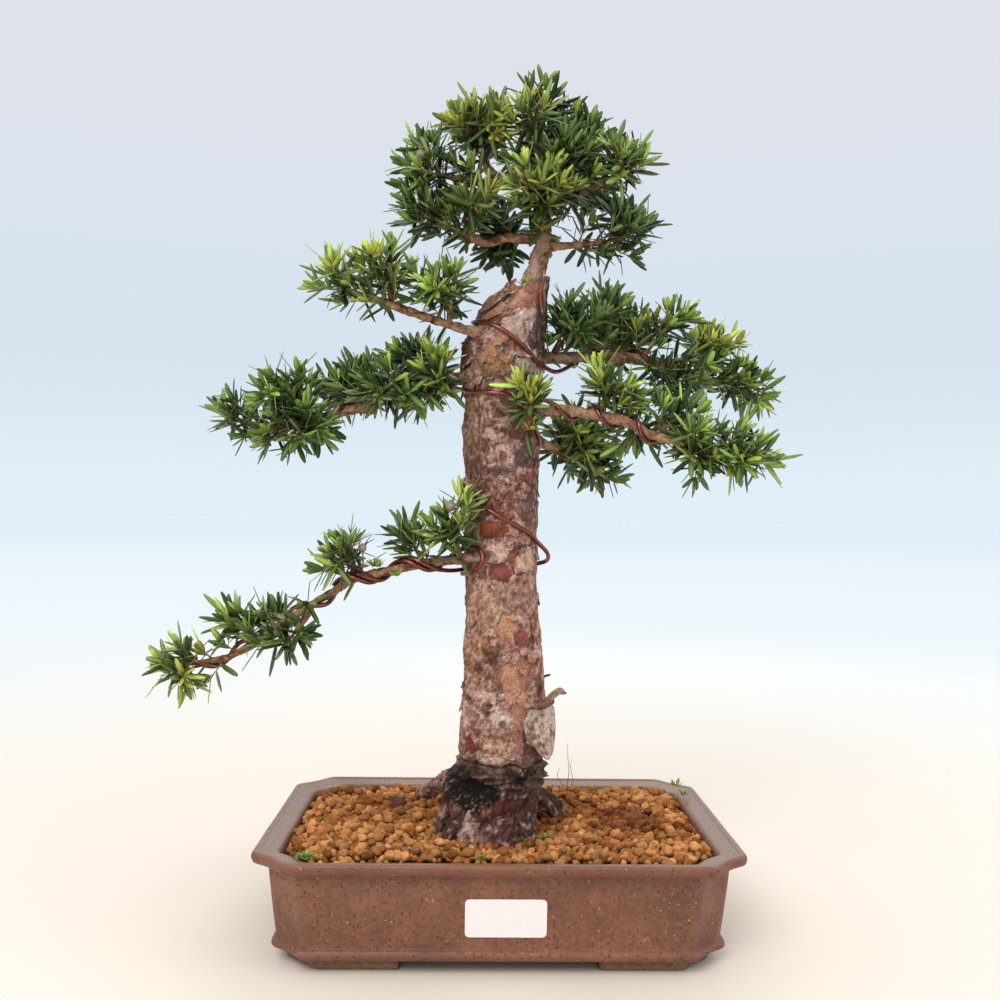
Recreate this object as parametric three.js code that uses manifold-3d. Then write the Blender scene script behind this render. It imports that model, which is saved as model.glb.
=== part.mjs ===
// A Japanese yew bonsai in a rectangular stoneware pot, in millimetres with +Z up.
// While it is built, z = 0 is under the pot's feet, x = y = 0 is the middle of the pot,
// x runs to the right and y away from the front.
import * as THREE from 'three';
import { mergeVertices } from 'three/addons/utils/BufferGeometryUtils.js';
import Module from 'manifold-3d';

const wasm = await Module();
wasm.setup();

// Driving dimensions
const GAP = 0.3;                 // clearance between two pieces that touch

const POT_HEIGHT = 71;
const POT_HALF_X = 155;          // rim
const POT_HALF_Y = 108;
const POT_CUT = 23.5;            // corner cut of the rim
const POT_CUT_SAG = 2.2;         // how far a corner cut bows inwards
const LIP_OVERHANG = 9;
const LIP_THICK = 7.6;
const RIM_WIDTH = 15;
const WALL_EXTRA = 1.5;          // the wall under the rim is thicker than the rim is wide by this
const WALL_TAPER = 5.2;          // body narrows by this on each side, top to bottom
const FLOOR_THICK = 8;
const FOOT_HEIGHT = 8.2;
const FOOT_LONG = 72;
const FOOT_SHORT = 46;
const FOOT_WIDE = 14;
const FOOT_INSET = 6.5;
const DRAIN_RADIUS = 10;
const DRAIN_X = 68;

const LABEL_SIZE = [50, 24, 0.6];
const LABEL_CENTRE = [3.4, 35.7]; // x, z
const LABEL_CORNER = 3;
const SCREEN_SIZE = 32;
const SCREEN_THICK = 1.2;
const SCREEN_OPEN = 0.7;         // share of the pitch of its holes that is open

const SOIL_LEVEL = 66.2;
const SOIL_MOUND = 2.6;
const GRAIN_STEP = 13.8;
const GRAIN_RISE = 2.4;
const GRAIN_JITTER = 0.3;        // how far a grain sits off its lattice, as a share of the step
const STEM_HOLE = 0.5;           // clearance of the wood in the soil

const WIRE_RADIUS = 1.35;
const WIRE_OFF_BARK = WIRE_RADIUS + GAP + 1.3;   // to the middle of a wire, over the bark's relief
const WIRE_OFF_BRANCH = WIRE_RADIUS + GAP + 0.9;
const COIL_STEPS = 7;            // of one turn
const NEEDLE_LENGTH = 19;
const NEEDLE_HALF_WIDTH = 1.2;
const NEEDLE_DEPTH = 1.0;
const WIDEST_AT = 0.64;          // along the needle
const SPIKE_LENGTH = 15.2;       // of the needle at a shoot's end
const WHORL_LENGTH = 2.6;        // of shoot, that three needles grow from
const LONG_WHORLS = [[0.36, 60], [0.74, 44]]; // place on the shoot, lean in degrees
const SHORT_WHORLS = [[0.64, 50]];
const SIDE_PLACE = 0.54;
const FORK_PLACE = 0.16;
const SIDE_LENGTH = 19;
const SHOOT_SIDES = 3;
const SHOOT_RADIUS = 1.4;
const SHOOT_TIP_RADIUS = 1.0;
const TWIG_LENGTH = 16;          // at most, and at most this share of the way to the shoots' ends
const TWIG_SHARE = 0.42;
const TWIG_RADIUS = 2.2;
const TWIG_TIP_RADIUS = 1.6;

const TRUNK_SIDES = 16;
const BRANCH_SIDES = 5;
const ROOT_SIDES = 6;
const TWIG_SIDES = 3;
const WIRE_SIDES = 5;

const FLUTES = [0.7, 0.5];       // depth of three and of five flutes round the trunk
const PLATE_RELIEF = 0.9;        // of bark plates about this tall
const PLATE_HEIGHT = 15;
const RIM_JAG = 3.2;             // of the bark round the sawn top
const CUT_RINGS = [[0.5, 3.4], [4.5, 8]]; // depth below the rim and distance in from the bark

const UP = new THREE.Vector3(0, 0, 1);
const vec = (x, y, z) => new THREE.Vector3(x, y, z);
const rad = THREE.MathUtils.degToRad;
const mix = THREE.MathUtils.lerp;

// Trunk: height, centre x, centre y, radius
const TRUNK = [
  [50, -5, -24, 26], [60, -5, -24, 26.5], [71, -4.7, -24, 28], [79, -5.2, -23.5, 30],
  [86, -5.8, -23, 32.5], [93, -5.9, -23, 34], [100, -4.6, -22.6, 33.6], [107, -2.6, -22.2, 32],
  [113, -0.4, -22, 30.4], [120, 0.7, -22, 29.4], [132, 1.3, -21.6, 28.5], [148, 1.7, -21, 27.6],
  [164, 1.7, -21, 27], [180, 1.6, -20.5, 26.3], [196, 1.3, -20, 25.6], [212, 1, -20, 24.8],
  [228, 0.6, -20, 24.7], [244, 0.2, -20, 24.7], [260, 0.2, -20, 24.5], [276, 0.3, -20, 24.2],
  [292, 0.3, -20, 24.2], [308, -0.2, -20, 24.4], [324, -0.9, -20, 24.8], [340, -1.5, -20, 25],
  [356, -1.9, -20, 25.4], [370, -1.8, -20, 26.6], [384, -1.6, -20, 27.8], [398, -1.4, -20, 27.8],
  [410, 0.6, -20, 26.6], [421, 3, -20, 25.2], [432, 5, -20, 23.8],
];
const TRUNK_TOP = TRUNK.at(-1)[0];
const CUT_START = 392;           // the sawn top slants from here up
const CUT_SLOPE = 0.5;
const HOLLOW = { angle: rad(-120), z: 98, wide: rad(23), tall: 8, deep: 8 };

// Branches: points x, y, z and radius, each starting inside the wood that carries it
const ROUTES = {
  leader: [[17, -20, 422, 9], [19, -20, 440, 8.2], [22, -20, 455, 6.6], [26, -19, 468, 6.2],
    [25, -16, 487, 6], [27, -14, 505, 5], [24, -14, 526, 4], [21, -14, 546, 3], [22, -14, 560, 2]],
  crown_low_left: [[22, -18, 473, 3], [-2, -24, 471, 2.9], [-14, -26, 467, 2.7],
    [-28, -30, 471, 2.4], [-44, -33, 477, 2]],
  crown_low_right: [[24, -19, 467, 2.8], [50, -26, 467, 2.3], [68, -32, 468, 1.8]],
  crown_right: [[25, -16, 495, 3.8], [38, -20, 499, 3.4], [56, -28, 505, 2.8], [68, -32, 511, 2]],
  crown_left: [[26, -14, 508, 3.4], [5, -20, 510, 3.1], [-20, -28, 508, 2.6], [-38, -33, 509, 2]],
  crown_upright: [[24, -14, 518, 3.6], [4, -9, 516, 3.4], [-9, -5, 521, 3.3], [-15, 0, 532, 3],
    [-13, 2, 550, 2.2]],
  crown_back: [[26, -15, 498, 3], [28, 8, 508, 2.8], [28, 26, 522, 2.3], [27, 36, 534, 1.8]],
  left_upper: [[-6, -30, 399, 4.6], [-20, -36, 404, 3.6], [-37, -44, 407, 3], [-61, -54, 413, 2.8],
    [-78, -60, 418, 2.6], [-99, -66, 423, 1.9]],
  left_mid: [[-8, -24, 376, 5], [-24, -26, 376, 4.2], [-36, -22, 374, 3.7], [-51, -16, 369, 3.5],
    [-68, -12, 363, 3.4], [-99, -8, 355, 3.2], [-124, -6, 348, 3], [-149, -6, 341, 2.6],
    [-173, -8, 341, 2]],
  left_low: [[2, -26, 257, 5], [-9, -38, 256, 4.6], [-18, -38, 254, 4], [-31, -35, 251, 3.4],
    [-49, -34, 249, 3.1], [-82, -38, 242, 3], [-100, -40, 237, 2.8], [-111, -42, 230, 2.7],
    [-139, -48, 212, 2.5], [-164, -54, 195, 2.3], [-178, -58, 187, 2.1], [-196, -62, 184, 1.8]],
  left_low_fork: [[-126, -45, 220, 2], [-129, -50, 212, 1.8], [-134, -58, 204, 1.6]],
  right_upper: [[10, -16, 389, 5.2], [28, -12, 391, 4.4], [61, 0, 394, 4], [88, 8, 395, 4],
    [109, 12, 393, 4.2], [130, 14, 388, 3.4], [142, 14, 382, 2.8], [156, 13, 381, 2.1]],
  right_mid: [[8, -30, 352, 4.6], [26, -37, 352, 3.9], [42, -44, 352, 3.5], [60, -52, 348, 3.5],
    [77, -58, 344, 3.4], [94, -64, 335, 2.9], [111, -70, 330, 2.6], [132, -77, 325, 2]],
  right_back: [[10, -8, 338, 4.2], [25, 3, 335, 3.6], [42, 20, 328, 2.9], [54, 30, 324, 2.1]],
  front_shoot: [[10, -34, 339, 2.8], [15, -45, 343, 2.2], [16, -52, 352, 1.6]],
};

// Surface roots: points x, y, z and radius
const ROOTS = [
  [[-18, -8, 100, 9], [-34, 14, 91, 7.2], [-50, 42, 77, 5.4], [-58, 58, 66, 4], [-62, 66, 60, 3]],
  [[14, -12, 94, 9], [30, 4, 83, 6.6], [42, 17, 73, 4.8], [50, 25, 62, 3.4]],
  [[-14, -34, 84, 10], [-18, -50, 76, 8], [-22, -60, 66, 6.4], [-24, -64, 58, 5]],
  [[2, -38, 84, 11], [3, -54, 74, 8.6], [6, -63, 66, 6.6], [8, -67, 58, 5]],
  [[0, 0, 90, 9], [2, 20, 78, 6.4], [6, 36, 68, 4.6], [8, 42, 60, 3.6]],
];

// Sprays: the branch that carries each, whether it ends that branch, and where its shoots end
const SPRAYS = {
  crown_1: { on: 'crown_left', end: true, tips: [[-60, -32, 534], [-62, -46, 505]] },
  crown_2: { on: 'crown_upright', tips: [[-38, -18, 557], [-8, -44, 545]] },
  crown_3: { on: 'crown_upright', end: true, tips: [[-11, 0, 570], [-24, 26, 561]] },
  crown_4: { on: 'leader', tips: [[12, -46, 551]] },
  crown_5: { on: 'leader', end: true, tips: [[22, -10, 571], [44, 4, 562]] },
  crown_6: { on: 'leader', tips: [[66, -12, 546], [52, 28, 550]] },
  crown_7: { on: 'crown_right', end: true, tips: [[82, -28, 531], [76, -57, 513]] },
  crown_8: { on: 'leader', tips: [[40, -56, 523]] },
  crown_9: { on: 'leader', tips: [[12, -64, 499], [34, -62, 500]] },
  crown_10: { on: 'crown_low_right', end: true, tips: [[90, -44, 476], [78, -18, 496]] },
  crown_11: { on: 'crown_low_left', end: true, tips: [[-64, -38, 489], [-50, -16, 496]] },
  crown_12: { on: 'crown_low_left', tips: [[-26, -48, 490]] },
  crown_13: { on: 'crown_low_left', tips: [[-10, 4, 491], [-6, -4, 462]] },
  crown_14: { on: 'crown_back', end: true, tips: [[38, 54, 556], [4, 52, 553]] },
  crown_15: { on: 'crown_back', tips: [[68, 36, 522]] },
  left_upper_1: { on: 'left_upper', end: true, tips: [[-114, -72, 434]] },
  left_upper_2: { on: 'left_upper', tips: [[-90, -62, 447], [-76, -40, 440]] },
  left_upper_3: { on: 'left_upper', tips: [[-50, -64, 432], [-32, -34, 438]] },
  left_mid_1: { on: 'left_mid', end: true, tips: [[-190, -12, 349]] },
  left_mid_2: { on: 'left_mid', tips: [[-164, -36, 359], [-138, 2, 372]] },
  left_mid_3: { on: 'left_mid', tips: [[-160, -42, 331], [-122, -46, 337]] },
  left_mid_4: { on: 'left_mid', tips: [[-102, 16, 384], [-128, 46, 364]] },
  left_mid_5: { on: 'left_mid', tips: [[-87, -58, 361]] },
  left_mid_6: { on: 'left_mid', tips: [[-74, 18, 395], [-62, 46, 382]] },
  left_mid_7: { on: 'left_mid', tips: [[-46, -42, 387], [-60, -36, 351]] },
  left_low_1: { on: 'left_low', end: true, tips: [[-216, -67, 182], [-204, -74, 172]] },
  left_low_2: { on: 'left_low', tips: [[-180, -50, 212]] },
  left_low_3: { on: 'left_low', tips: [[-156, -36, 210]] },
  left_low_4: { on: 'left_low_fork', end: true, tips: [[-140, -72, 199]] },
  left_low_5: { on: 'left_low', tips: [[-104, -34, 262], [-112, -58, 246]] },
  left_low_6: { on: 'left_low', tips: [[-68, -28, 267]] },
  left_low_7: { on: 'left_low', tips: [[-46, -50, 267], [-27, -50, 293]] },
  right_upper_1: { on: 'right_upper', tips: [[46, -22, 424], [54, -44, 404]] },
  right_upper_2: { on: 'right_upper', tips: [[76, -4, 434]] },
  right_upper_3: { on: 'right_upper', tips: [[102, 34, 427], [82, 60, 418]] },
  right_upper_4: { on: 'right_upper', tips: [[125, 0, 426]] },
  right_upper_5: { on: 'right_upper', tips: [[158, 4, 408], [151, 44, 410]] },
  right_upper_6: { on: 'right_upper', end: true, tips: [[188, 0, 370], [177, 28, 376]] },
  right_upper_7: { on: 'right_upper', tips: [[122, -12, 364]] },
  right_mid_1: { on: 'right_mid', tips: [[61, -56, 371], [89, -48, 362]] },
  right_mid_2: { on: 'right_mid', tips: [[88, -42, 334]] },
  right_mid_3: { on: 'right_mid', tips: [[120, -58, 348]] },
  right_mid_4: { on: 'right_mid', tips: [[122, -90, 316]] },
  right_mid_5: { on: 'right_mid', end: true, tips: [[150, -97, 314], [170, -80, 317]] },
  right_back_1: { on: 'right_back', tips: [[46, 32, 346], [62, 8, 326]] },
  right_back_2: { on: 'right_back', end: true, tips: [[72, 30, 332], [78, 50, 314]] },
  front_shoot_1: { on: 'front_shoot', end: true, tips: [[15, -66, 367]] },
};

// Hard round seeds: the spray that carries each, the shoot on it and how far along
const SEEDS = {
  seed_crown: { spray: 'crown_1', shoot: 0, along: 0.72, side: [-0.6, -0.7, 0.3] },
  seed_top: { spray: 'crown_5', shoot: 0, along: 0.5, side: [0.4, -0.9, 0.1] },
  seed_left_low: { spray: 'left_low_7', shoot: 1, along: 0.75, side: [-0.8, -0.6, 0] },
};
const SEED_RADIUS = 3.6;
const SEED_SEAT = 1;             // from the middle of the shoot to the seed's skin

// Colours from the finish of the real thing
const paint = (color, roughness, metalness = 0) =>
  new THREE.MeshStandardMaterial({ color, roughness, metalness });
const STONEWARE = paint('#6f4638', 0.55);
const CLAY_SOIL = paint('#a9692f', 0.95);
const BARK = paint('#92695a', 0.85);
const NEEDLE_GREEN = paint('#2f5f1f', 0.45);
const COPPER_WIRE = paint('#5a2320', 0.35, 0.8);
const PAPER = paint('#f2f0ea', 0.6);
const SEED_COAT = paint('#7a6a58', 0.5);
const SCREEN_PLASTIC = paint('#1f1f1f', 0.7);

// A repeatable number from 0 to 1 for two whole numbers
function chance(a, b = 0) {
  const v = Math.sin(a * 127.1 + b * 311.7) * 43758.5453;
  return v - Math.floor(v);
}

// Solids from rings

// The triangles of a fan over a convex ring
function fanOf(count) {
  return Array.from({ length: count - 2 }, (_, i) => [0, i + 1, i + 2]);
}

// Joins rings of equal length by quads split in two, and closes both ends with the triangles given.
function loft(rings, ends = fanOf(rings[0].length)) {
  const count = rings[0].length;
  const points = rings.flat();
  const faces = [];
  for (let k = 0; k + 1 < rings.length; k += 1) {
    for (let i = 0; i < count; i += 1) {
      const a = k * count + i;
      const b = k * count + (i + 1) % count;
      faces.push(a, b, b + count, a, b + count, a + count);
    }
  }
  const last = (rings.length - 1) * count;
  ends.forEach(([a, b, c]) => faces.push(a, c, b, last + a, last + b, last + c));
  return geometryOf(points, faces);
}

function geometryOf(points, faces) {
  const geometry = new THREE.BufferGeometry();
  geometry.setAttribute('position', new THREE.Float32BufferAttribute(points.flatMap((p) => p.toArray()), 3));
  geometry.setIndex(faces);
  return geometry;
}

// A closed tube: one ring at each point, square to the path, turned as little as possible.
function tube(points, radii, sides) {
  const rings = [];
  let normal = null;
  points.forEach((p, k) => {
    const before = points[Math.max(k - 1, 0)];
    const after = points[Math.min(k + 1, points.length - 1)];
    const along = after.clone().sub(before).normalize();
    if (normal === null) normal = Math.abs(along.z) > 0.9 ? vec(1, 0, 0) : UP.clone();
    normal.addScaledVector(along, -normal.dot(along)).normalize();
    const across = along.clone().cross(normal);
    const ring = [];
    for (let i = 0; i < sides; i += 1) {
      const turn = 2 * Math.PI * i / sides;
      ring.push(p.clone()
        .addScaledVector(normal, radii[k] * Math.cos(turn))
        .addScaledVector(across, radii[k] * Math.sin(turn)));
    }
    rings.push(ring);
  });
  return loft(rings);
}

// A thin closed sheet: the surface point(u, v) and the same surface moved along its normal.
function sheet(point, across, up, thick) {
  const step = 0.01;
  const points = [];
  for (let face = 0; face < 2; face += 1) {
    for (let j = 0; j <= up; j += 1) {
      for (let i = 0; i <= across; i += 1) {
        const [u, v] = [i / across, j / up];
        const p = point(u, v);
        const du = point(u + step, v).sub(point(u - step, v));
        const dv = point(u, v + step).sub(point(u, v - step));
        const normal = du.cross(dv).normalize();
        points.push(p.addScaledVector(normal, (face - 0.5) * thick));
      }
    }
  }
  const row = across + 1;
  const size = row * (up + 1);
  const faces = [];
  const quad = (a, b, c, d) => faces.push(a, b, c, a, c, d);
  for (let j = 0; j < up; j += 1) {
    for (let i = 0; i < across; i += 1) {
      const a = j * row + i;
      faces.push(a, a + 1 + row, a + 1, a, a + row, a + 1 + row);
      const b = a + size;
      faces.push(b, b + 1, b + 1 + row, b, b + 1 + row, b + row);
    }
  }
  for (let i = 0; i < across; i += 1) {
    quad(i, i + 1, i + 1 + size, i + size);
    const top = up * row + i;
    quad(top + 1, top, top + size, top + 1 + size);
  }
  for (let j = 0; j < up; j += 1) {
    const left = j * row;
    quad(left + row, left, left + size, left + row + size);
    const right = j * row + across;
    quad(right, right + row, right + row + size, right + size);
  }
  return geometryOf(points, faces);
}

function solidOf(geometry) {
  const plain = geometry.clone();
  plain.deleteAttribute('normal');
  plain.deleteAttribute('uv');
  const merged = mergeVertices(plain, 1e-4);
  return new wasm.Manifold(new wasm.Mesh({
    numProp: 3,
    vertProperties: new Float32Array(merged.attributes.position.array),
    triVerts: new Uint32Array(merged.index.array),
  }));
}

const joined = (solids) => solids.reduce((sum, solid) => sum.add(solid));

function meshOf(name, solid, material) {
  const { vertProperties, triVerts, numProp } = solid.getMesh();
  const geometry = new THREE.BufferGeometry();
  const position = new Float32Array(vertProperties.length / numProp * 3);
  for (let i = 0; i < position.length / 3; i += 1) {
    for (let k = 0; k < 3; k += 1) position[3 * i + k] = vertProperties[numProp * i + k];
  }
  geometry.setAttribute('position', new THREE.BufferAttribute(position, 3));
  geometry.setIndex(new THREE.BufferAttribute(new Uint32Array(triVerts), 1));
  geometry.computeVertexNormals();
  const mesh = new THREE.Mesh(geometry, material);
  mesh.name = name;
  return mesh;
}

// Room taken by wood, wires and foliage, as rods that later pieces keep clear of

const taken = [];

function take(owner, a, b, radius) {
  taken.push({ owner, a: a.clone(), b: b.clone(), radius });
}

function takePath(owner, points, radii) {
  for (let k = 0; k + 1 < points.length; k += 1) {
    take(owner, points[k], points[k + 1], Math.max(radii[k], radii[k + 1]));
  }
}

// Shortest distance between the stretches a-b and c-d
function distanceBetween(a, b, c, d) {
  const [ab, cd, ca] = [b.clone().sub(a), d.clone().sub(c), a.clone().sub(c)];
  const [aa, cc, ac] = [ab.dot(ab), cd.dot(cd), ab.dot(cd)];
  const [ad, cdd] = [ab.dot(ca), cd.dot(ca)];
  const denominator = aa * cc - ac * ac;
  let s = denominator > 1e-9 ? THREE.MathUtils.clamp((ac * cdd - cc * ad) / denominator, 0, 1) : 0;
  let t = THREE.MathUtils.clamp((ac * s + cdd) / Math.max(cc, 1e-9), 0, 1);
  s = THREE.MathUtils.clamp((ac * t - ad) / Math.max(aa, 1e-9), 0, 1);
  t = THREE.MathUtils.clamp((ac * s + cdd) / Math.max(cc, 1e-9), 0, 1);
  const p = a.clone().addScaledVector(ab, s);
  return p.distanceTo(c.clone().addScaledVector(cd, t));
}

function clearanceOf(owners, a, b, radius) {
  let least = Infinity;
  for (const rod of taken) {
    if (!owners.includes(rod.owner)) {
      least = Math.min(least, distanceBetween(a, b, rod.a, rod.b) - radius - rod.radius);
    }
  }
  return least;
}

function pathClearance(owners, points, radius) {
  let least = Infinity;
  for (let k = 0; k + 1 < points.length; k += 1) {
    least = Math.min(least, clearanceOf(owners, points[k], points[k + 1], radius));
  }
  return least;
}

// Pot

// The outline of the pot at one height: four straight sides and four corner cuts that bow inwards
function potRing(halfX, halfY, cut, z, arcSteps = 2) {
  const ring = [];
  const corners = [[1, -1], [1, 1], [-1, 1], [-1, -1]];
  corners.forEach(([sx, sy]) => {
    const first = vec(sx * (halfX - cut), sy * halfY, z);
    const second = vec(sx * halfX, sy * (halfY - cut), z);
    const [from, to] = sx * sy < 0 ? [first, second] : [second, first];
    const inward = vec(-sx, -sy, 0).normalize();
    for (let i = 0; i <= arcSteps; i += 1) {
      const t = i / arcSteps;
      ring.push(from.clone().lerp(to, t).addScaledVector(inward, POT_CUT_SAG * 4 * t * (1 - t)));
    }
  });
  return ring;
}

const BODY_TOP_X = POT_HALF_X - LIP_OVERHANG;
const BODY_TOP_Y = POT_HALF_Y - LIP_OVERHANG;
const BODY_TOP_Z = POT_HEIGHT - LIP_THICK - 1;
const BODY_LOW_Z = FOOT_HEIGHT + 7.5;
const INNER_TOP_X = POT_HALF_X - RIM_WIDTH - WALL_EXTRA;
const INNER_TOP_Y = POT_HALF_Y - RIM_WIDTH - WALL_EXTRA;
const INNER_LOW_X = INNER_TOP_X - WALL_TAPER;
const INNER_LOW_Y = INNER_TOP_Y - WALL_TAPER;
const FLOOR_Z = FOOT_HEIGHT + FLOOR_THICK;

// An L-shaped foot under one corner. Its outline is not convex, so its ends are cut up by its shape.
function footSolid(sx, sy) {
  const x = BODY_TOP_X - WALL_TAPER - FOOT_INSET;
  const y = BODY_TOP_Y - WALL_TAPER - FOOT_INSET;
  const cut = POT_CUT - 4;
  const corner = FOOT_WIDE * 0.6;
  const outline = [
    [x - FOOT_LONG, y], [x - FOOT_LONG, y - FOOT_WIDE], [x - FOOT_WIDE - corner, y - FOOT_WIDE],
    [x - FOOT_WIDE, y - FOOT_WIDE - corner], [x - FOOT_WIDE, y - FOOT_SHORT], [x, y - FOOT_SHORT],
    [x, y - cut], [x - cut, y],
  ].map(([px, py]) => [sx * px, sy * py]);
  if (sx * sy < 0) outline.reverse();
  const ring = (z, grow) => outline.map(([px, py]) => vec(px * grow, py * grow, z));
  const ends = THREE.ShapeUtils.triangulateShape(outline.map(([px, py]) => new THREE.Vector2(px, py)), []);
  return solidOf(loft([ring(0, 0.994), ring(1.2, 1), ring(FOOT_HEIGHT + 1, 1)], ends));
}

function potSolid() {
  const cut = POT_CUT;
  const bodyLowX = BODY_TOP_X - WALL_TAPER;
  const bodyLowY = BODY_TOP_Y - WALL_TAPER;
  const ring = (inset, z, less) => potRing(POT_HALF_X - inset, POT_HALF_Y - inset, cut - less, z);
  const outside = [
    potRing(bodyLowX - 1.5, bodyLowY - 1.5, cut - 3, FOOT_HEIGHT),
    potRing(bodyLowX + 1.9, bodyLowY + 1.9, cut - 2.5, FOOT_HEIGHT + 1.2),
    potRing(bodyLowX + 2.5, bodyLowY + 2.5, cut - 2.5, FOOT_HEIGHT + 3.6),
    potRing(bodyLowX + 1.6, bodyLowY + 1.6, cut - 2.5, FOOT_HEIGHT + 6),
    potRing(bodyLowX, bodyLowY, cut - 3, BODY_LOW_Z),
    potRing(BODY_TOP_X, BODY_TOP_Y, cut - 2.5, BODY_TOP_Z),
    ring(3.2, POT_HEIGHT - LIP_THICK, 1),
    ring(0.6, POT_HEIGHT - LIP_THICK + 2, 0.2),
    ring(0, POT_HEIGHT - 2.6, 0),
    ring(1, POT_HEIGHT - 0.3, 0.3),
    ring(2.4, POT_HEIGHT, 0.8),
    ring(4.4, POT_HEIGHT - 0.9, 1.4),
    ring(RIM_WIDTH - 0.8, POT_HEIGHT - 2.6, 4),
    ring(RIM_WIDTH + 0.8, POT_HEIGHT - 4.4, 4.6),
  ];
  const inside = [
    potRing(INNER_TOP_X, INNER_TOP_Y, cut - 5, POT_HEIGHT - 8),
    potRing(INNER_LOW_X, INNER_LOW_Y, cut - 6, FLOOR_Z),
  ];
  let pot = solidOf(loft([...outside, ...inside]));
  for (const sx of [-1, 1]) {
    for (const sy of [-1, 1]) pot = pot.add(footSolid(sx, sy));
    const drill = new THREE.CylinderGeometry(DRAIN_RADIUS, DRAIN_RADIUS, 3 * FLOOR_THICK, 16);
    drill.rotateX(Math.PI / 2).translate(sx * DRAIN_X, 0, FLOOR_Z - FLOOR_THICK / 2);
    pot = pot.subtract(solidOf(drill));
  }
  return pot;
}

// A square mesh screen over a drain hole
function screenSolid(x) {
  const pitch = SCREEN_SIZE / 4;
  const hole = pitch * SCREEN_OPEN;
  const z = FLOOR_Z + GAP + SCREEN_THICK / 2;
  let screen = solidOf(new THREE.BoxGeometry(SCREEN_SIZE, SCREEN_SIZE, SCREEN_THICK).translate(x, 0, z));
  for (const i of [-1, 1]) {
    for (const j of [-1, 1]) {
      const opening = new THREE.BoxGeometry(hole, hole, 3 * SCREEN_THICK);
      screen = screen.subtract(solidOf(opening.translate(x + i * pitch, j * pitch, z)));
    }
  }
  return screen;
}

// The label lies flat on the leaning front of the pot.
function labelSolid() {
  const [width, height, thick] = LABEL_SIZE;
  const [hx, hy, r] = [width / 2, height / 2, LABEL_CORNER];
  const shape = new THREE.Shape();
  shape.moveTo(-hx + r, -hy).lineTo(hx - r, -hy).quadraticCurveTo(hx, -hy, hx, -hy + r);
  shape.lineTo(hx, hy - r).quadraticCurveTo(hx, hy, hx - r, hy);
  shape.lineTo(-hx + r, hy).quadraticCurveTo(-hx, hy, -hx, hy - r);
  shape.lineTo(-hx, -hy + r).quadraticCurveTo(-hx, -hy, -hx + r, -hy);
  const plate = new THREE.ExtrudeGeometry(shape, { depth: thick, bevelEnabled: false, curveSegments: 3 });
  const lean = Math.atan2(WALL_TAPER, BODY_TOP_Z - BODY_LOW_Z);
  const share = (LABEL_CENTRE[1] - BODY_LOW_Z) / (BODY_TOP_Z - BODY_LOW_Z);
  const wall = BODY_TOP_Y - WALL_TAPER * (1 - share);
  plate.translate(0, 0, GAP).rotateX(Math.PI / 2 + lean);
  return solidOf(plate.translate(LABEL_CENTRE[0], -wall, LABEL_CENTRE[1]));
}

// Wood

function trunkAt(z) {
  const top = TRUNK.length - 1;
  let k = 0;
  while (k + 2 <= top && z > TRUNK[k + 1][0]) k += 1;
  const t = THREE.MathUtils.clamp((z - TRUNK[k][0]) / (TRUNK[k + 1][0] - TRUNK[k][0]), 0, 1);
  const [x, y, r] = [1, 2, 3].map((i) => mix(TRUNK[k][i], TRUNK[k + 1][i], t));
  return { x, y, r };
}

// Flutes, bark plates and the dark hollow, as a radius round the trunk
function trunkRadius(angle, z) {
  const flutes = FLUTES[0] * Math.sin(3 * angle + z / 55) + FLUTES[1] * Math.sin(5 * angle - z / 37 + 1);
  const plates = PLATE_RELIEF * (chance(Math.round(angle * 4), Math.round(z / PLATE_HEIGHT)) - 0.5);
  const turn = Math.atan2(Math.sin(angle - HOLLOW.angle), Math.cos(angle - HOLLOW.angle));
  const inside = Math.exp(-((turn / HOLLOW.wide) ** 2) - ((z - HOLLOW.z) / HOLLOW.tall) ** 2);
  return trunkAt(z).r + flutes + plates - HOLLOW.deep * inside;
}

function trunkPoint(angle, z, grow = 0) {
  const { x, y } = trunkAt(z);
  const r = trunkRadius(angle, z) + grow;
  const slant = CUT_SLOPE * THREE.MathUtils.smoothstep(z, CUT_START, TRUNK_TOP);
  return vec(x + r * Math.cos(angle), y + r * Math.sin(angle), z + slant * r * Math.cos(angle));
}

function trunkRing(z, grow = 0) {
  const ring = [];
  for (let i = 0; i < TRUNK_SIDES; i += 1) ring.push(trunkPoint(2 * Math.PI * i / TRUNK_SIDES, z, grow));
  return ring;
}

// The trunk ends in a jagged rim of bark round a sunken old cut.
function trunkSolid() {
  const rings = TRUNK.map(([z]) => trunkRing(z));
  rings.at(-1).forEach((p, i) => { p.z += RIM_JAG * (chance(i, 7) - 0.4); });
  CUT_RINGS.forEach(([depth, inwards]) => rings.push(trunkRing(TRUNK_TOP - depth, -inwards)));
  return solidOf(loft(rings));
}

function sampleRoute(route, perSpan) {
  const curve = new THREE.CatmullRomCurve3(route.map(([x, y, z]) => vec(x, y, z)), false, 'catmullrom', 0.5);
  const steps = (route.length - 1) * perSpan;
  const points = [];
  const radii = [];
  for (let i = 0; i <= steps; i += 1) {
    points.push(curve.getPoint(i / steps));
    const k = Math.min(Math.floor(i / perSpan), route.length - 2);
    radii.push(mix(route[k][3], route[k + 1][3], i / perSpan - k));
  }
  return { points, radii };
}

const branches = Object.fromEntries(
  Object.entries(ROUTES).map(([name, route]) => [name, sampleRoute(route, 1)]));

// A place at a distance along a branch, with its direction and radius there
function placeOn(branch, distance) {
  const { points, radii } = branch;
  let left = distance;
  for (let k = 0; k + 1 < points.length; k += 1) {
    const length = points[k].distanceTo(points[k + 1]);
    if (left <= length || k + 2 === points.length) {
      const t = Math.min(left / length, 1);
      return {
        point: points[k].clone().lerp(points[k + 1], t),
        along: points[k + 1].clone().sub(points[k]).normalize(),
        radius: mix(radii[k], radii[k + 1], t),
      };
    }
    left -= length;
  }
  return null;
}

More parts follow.
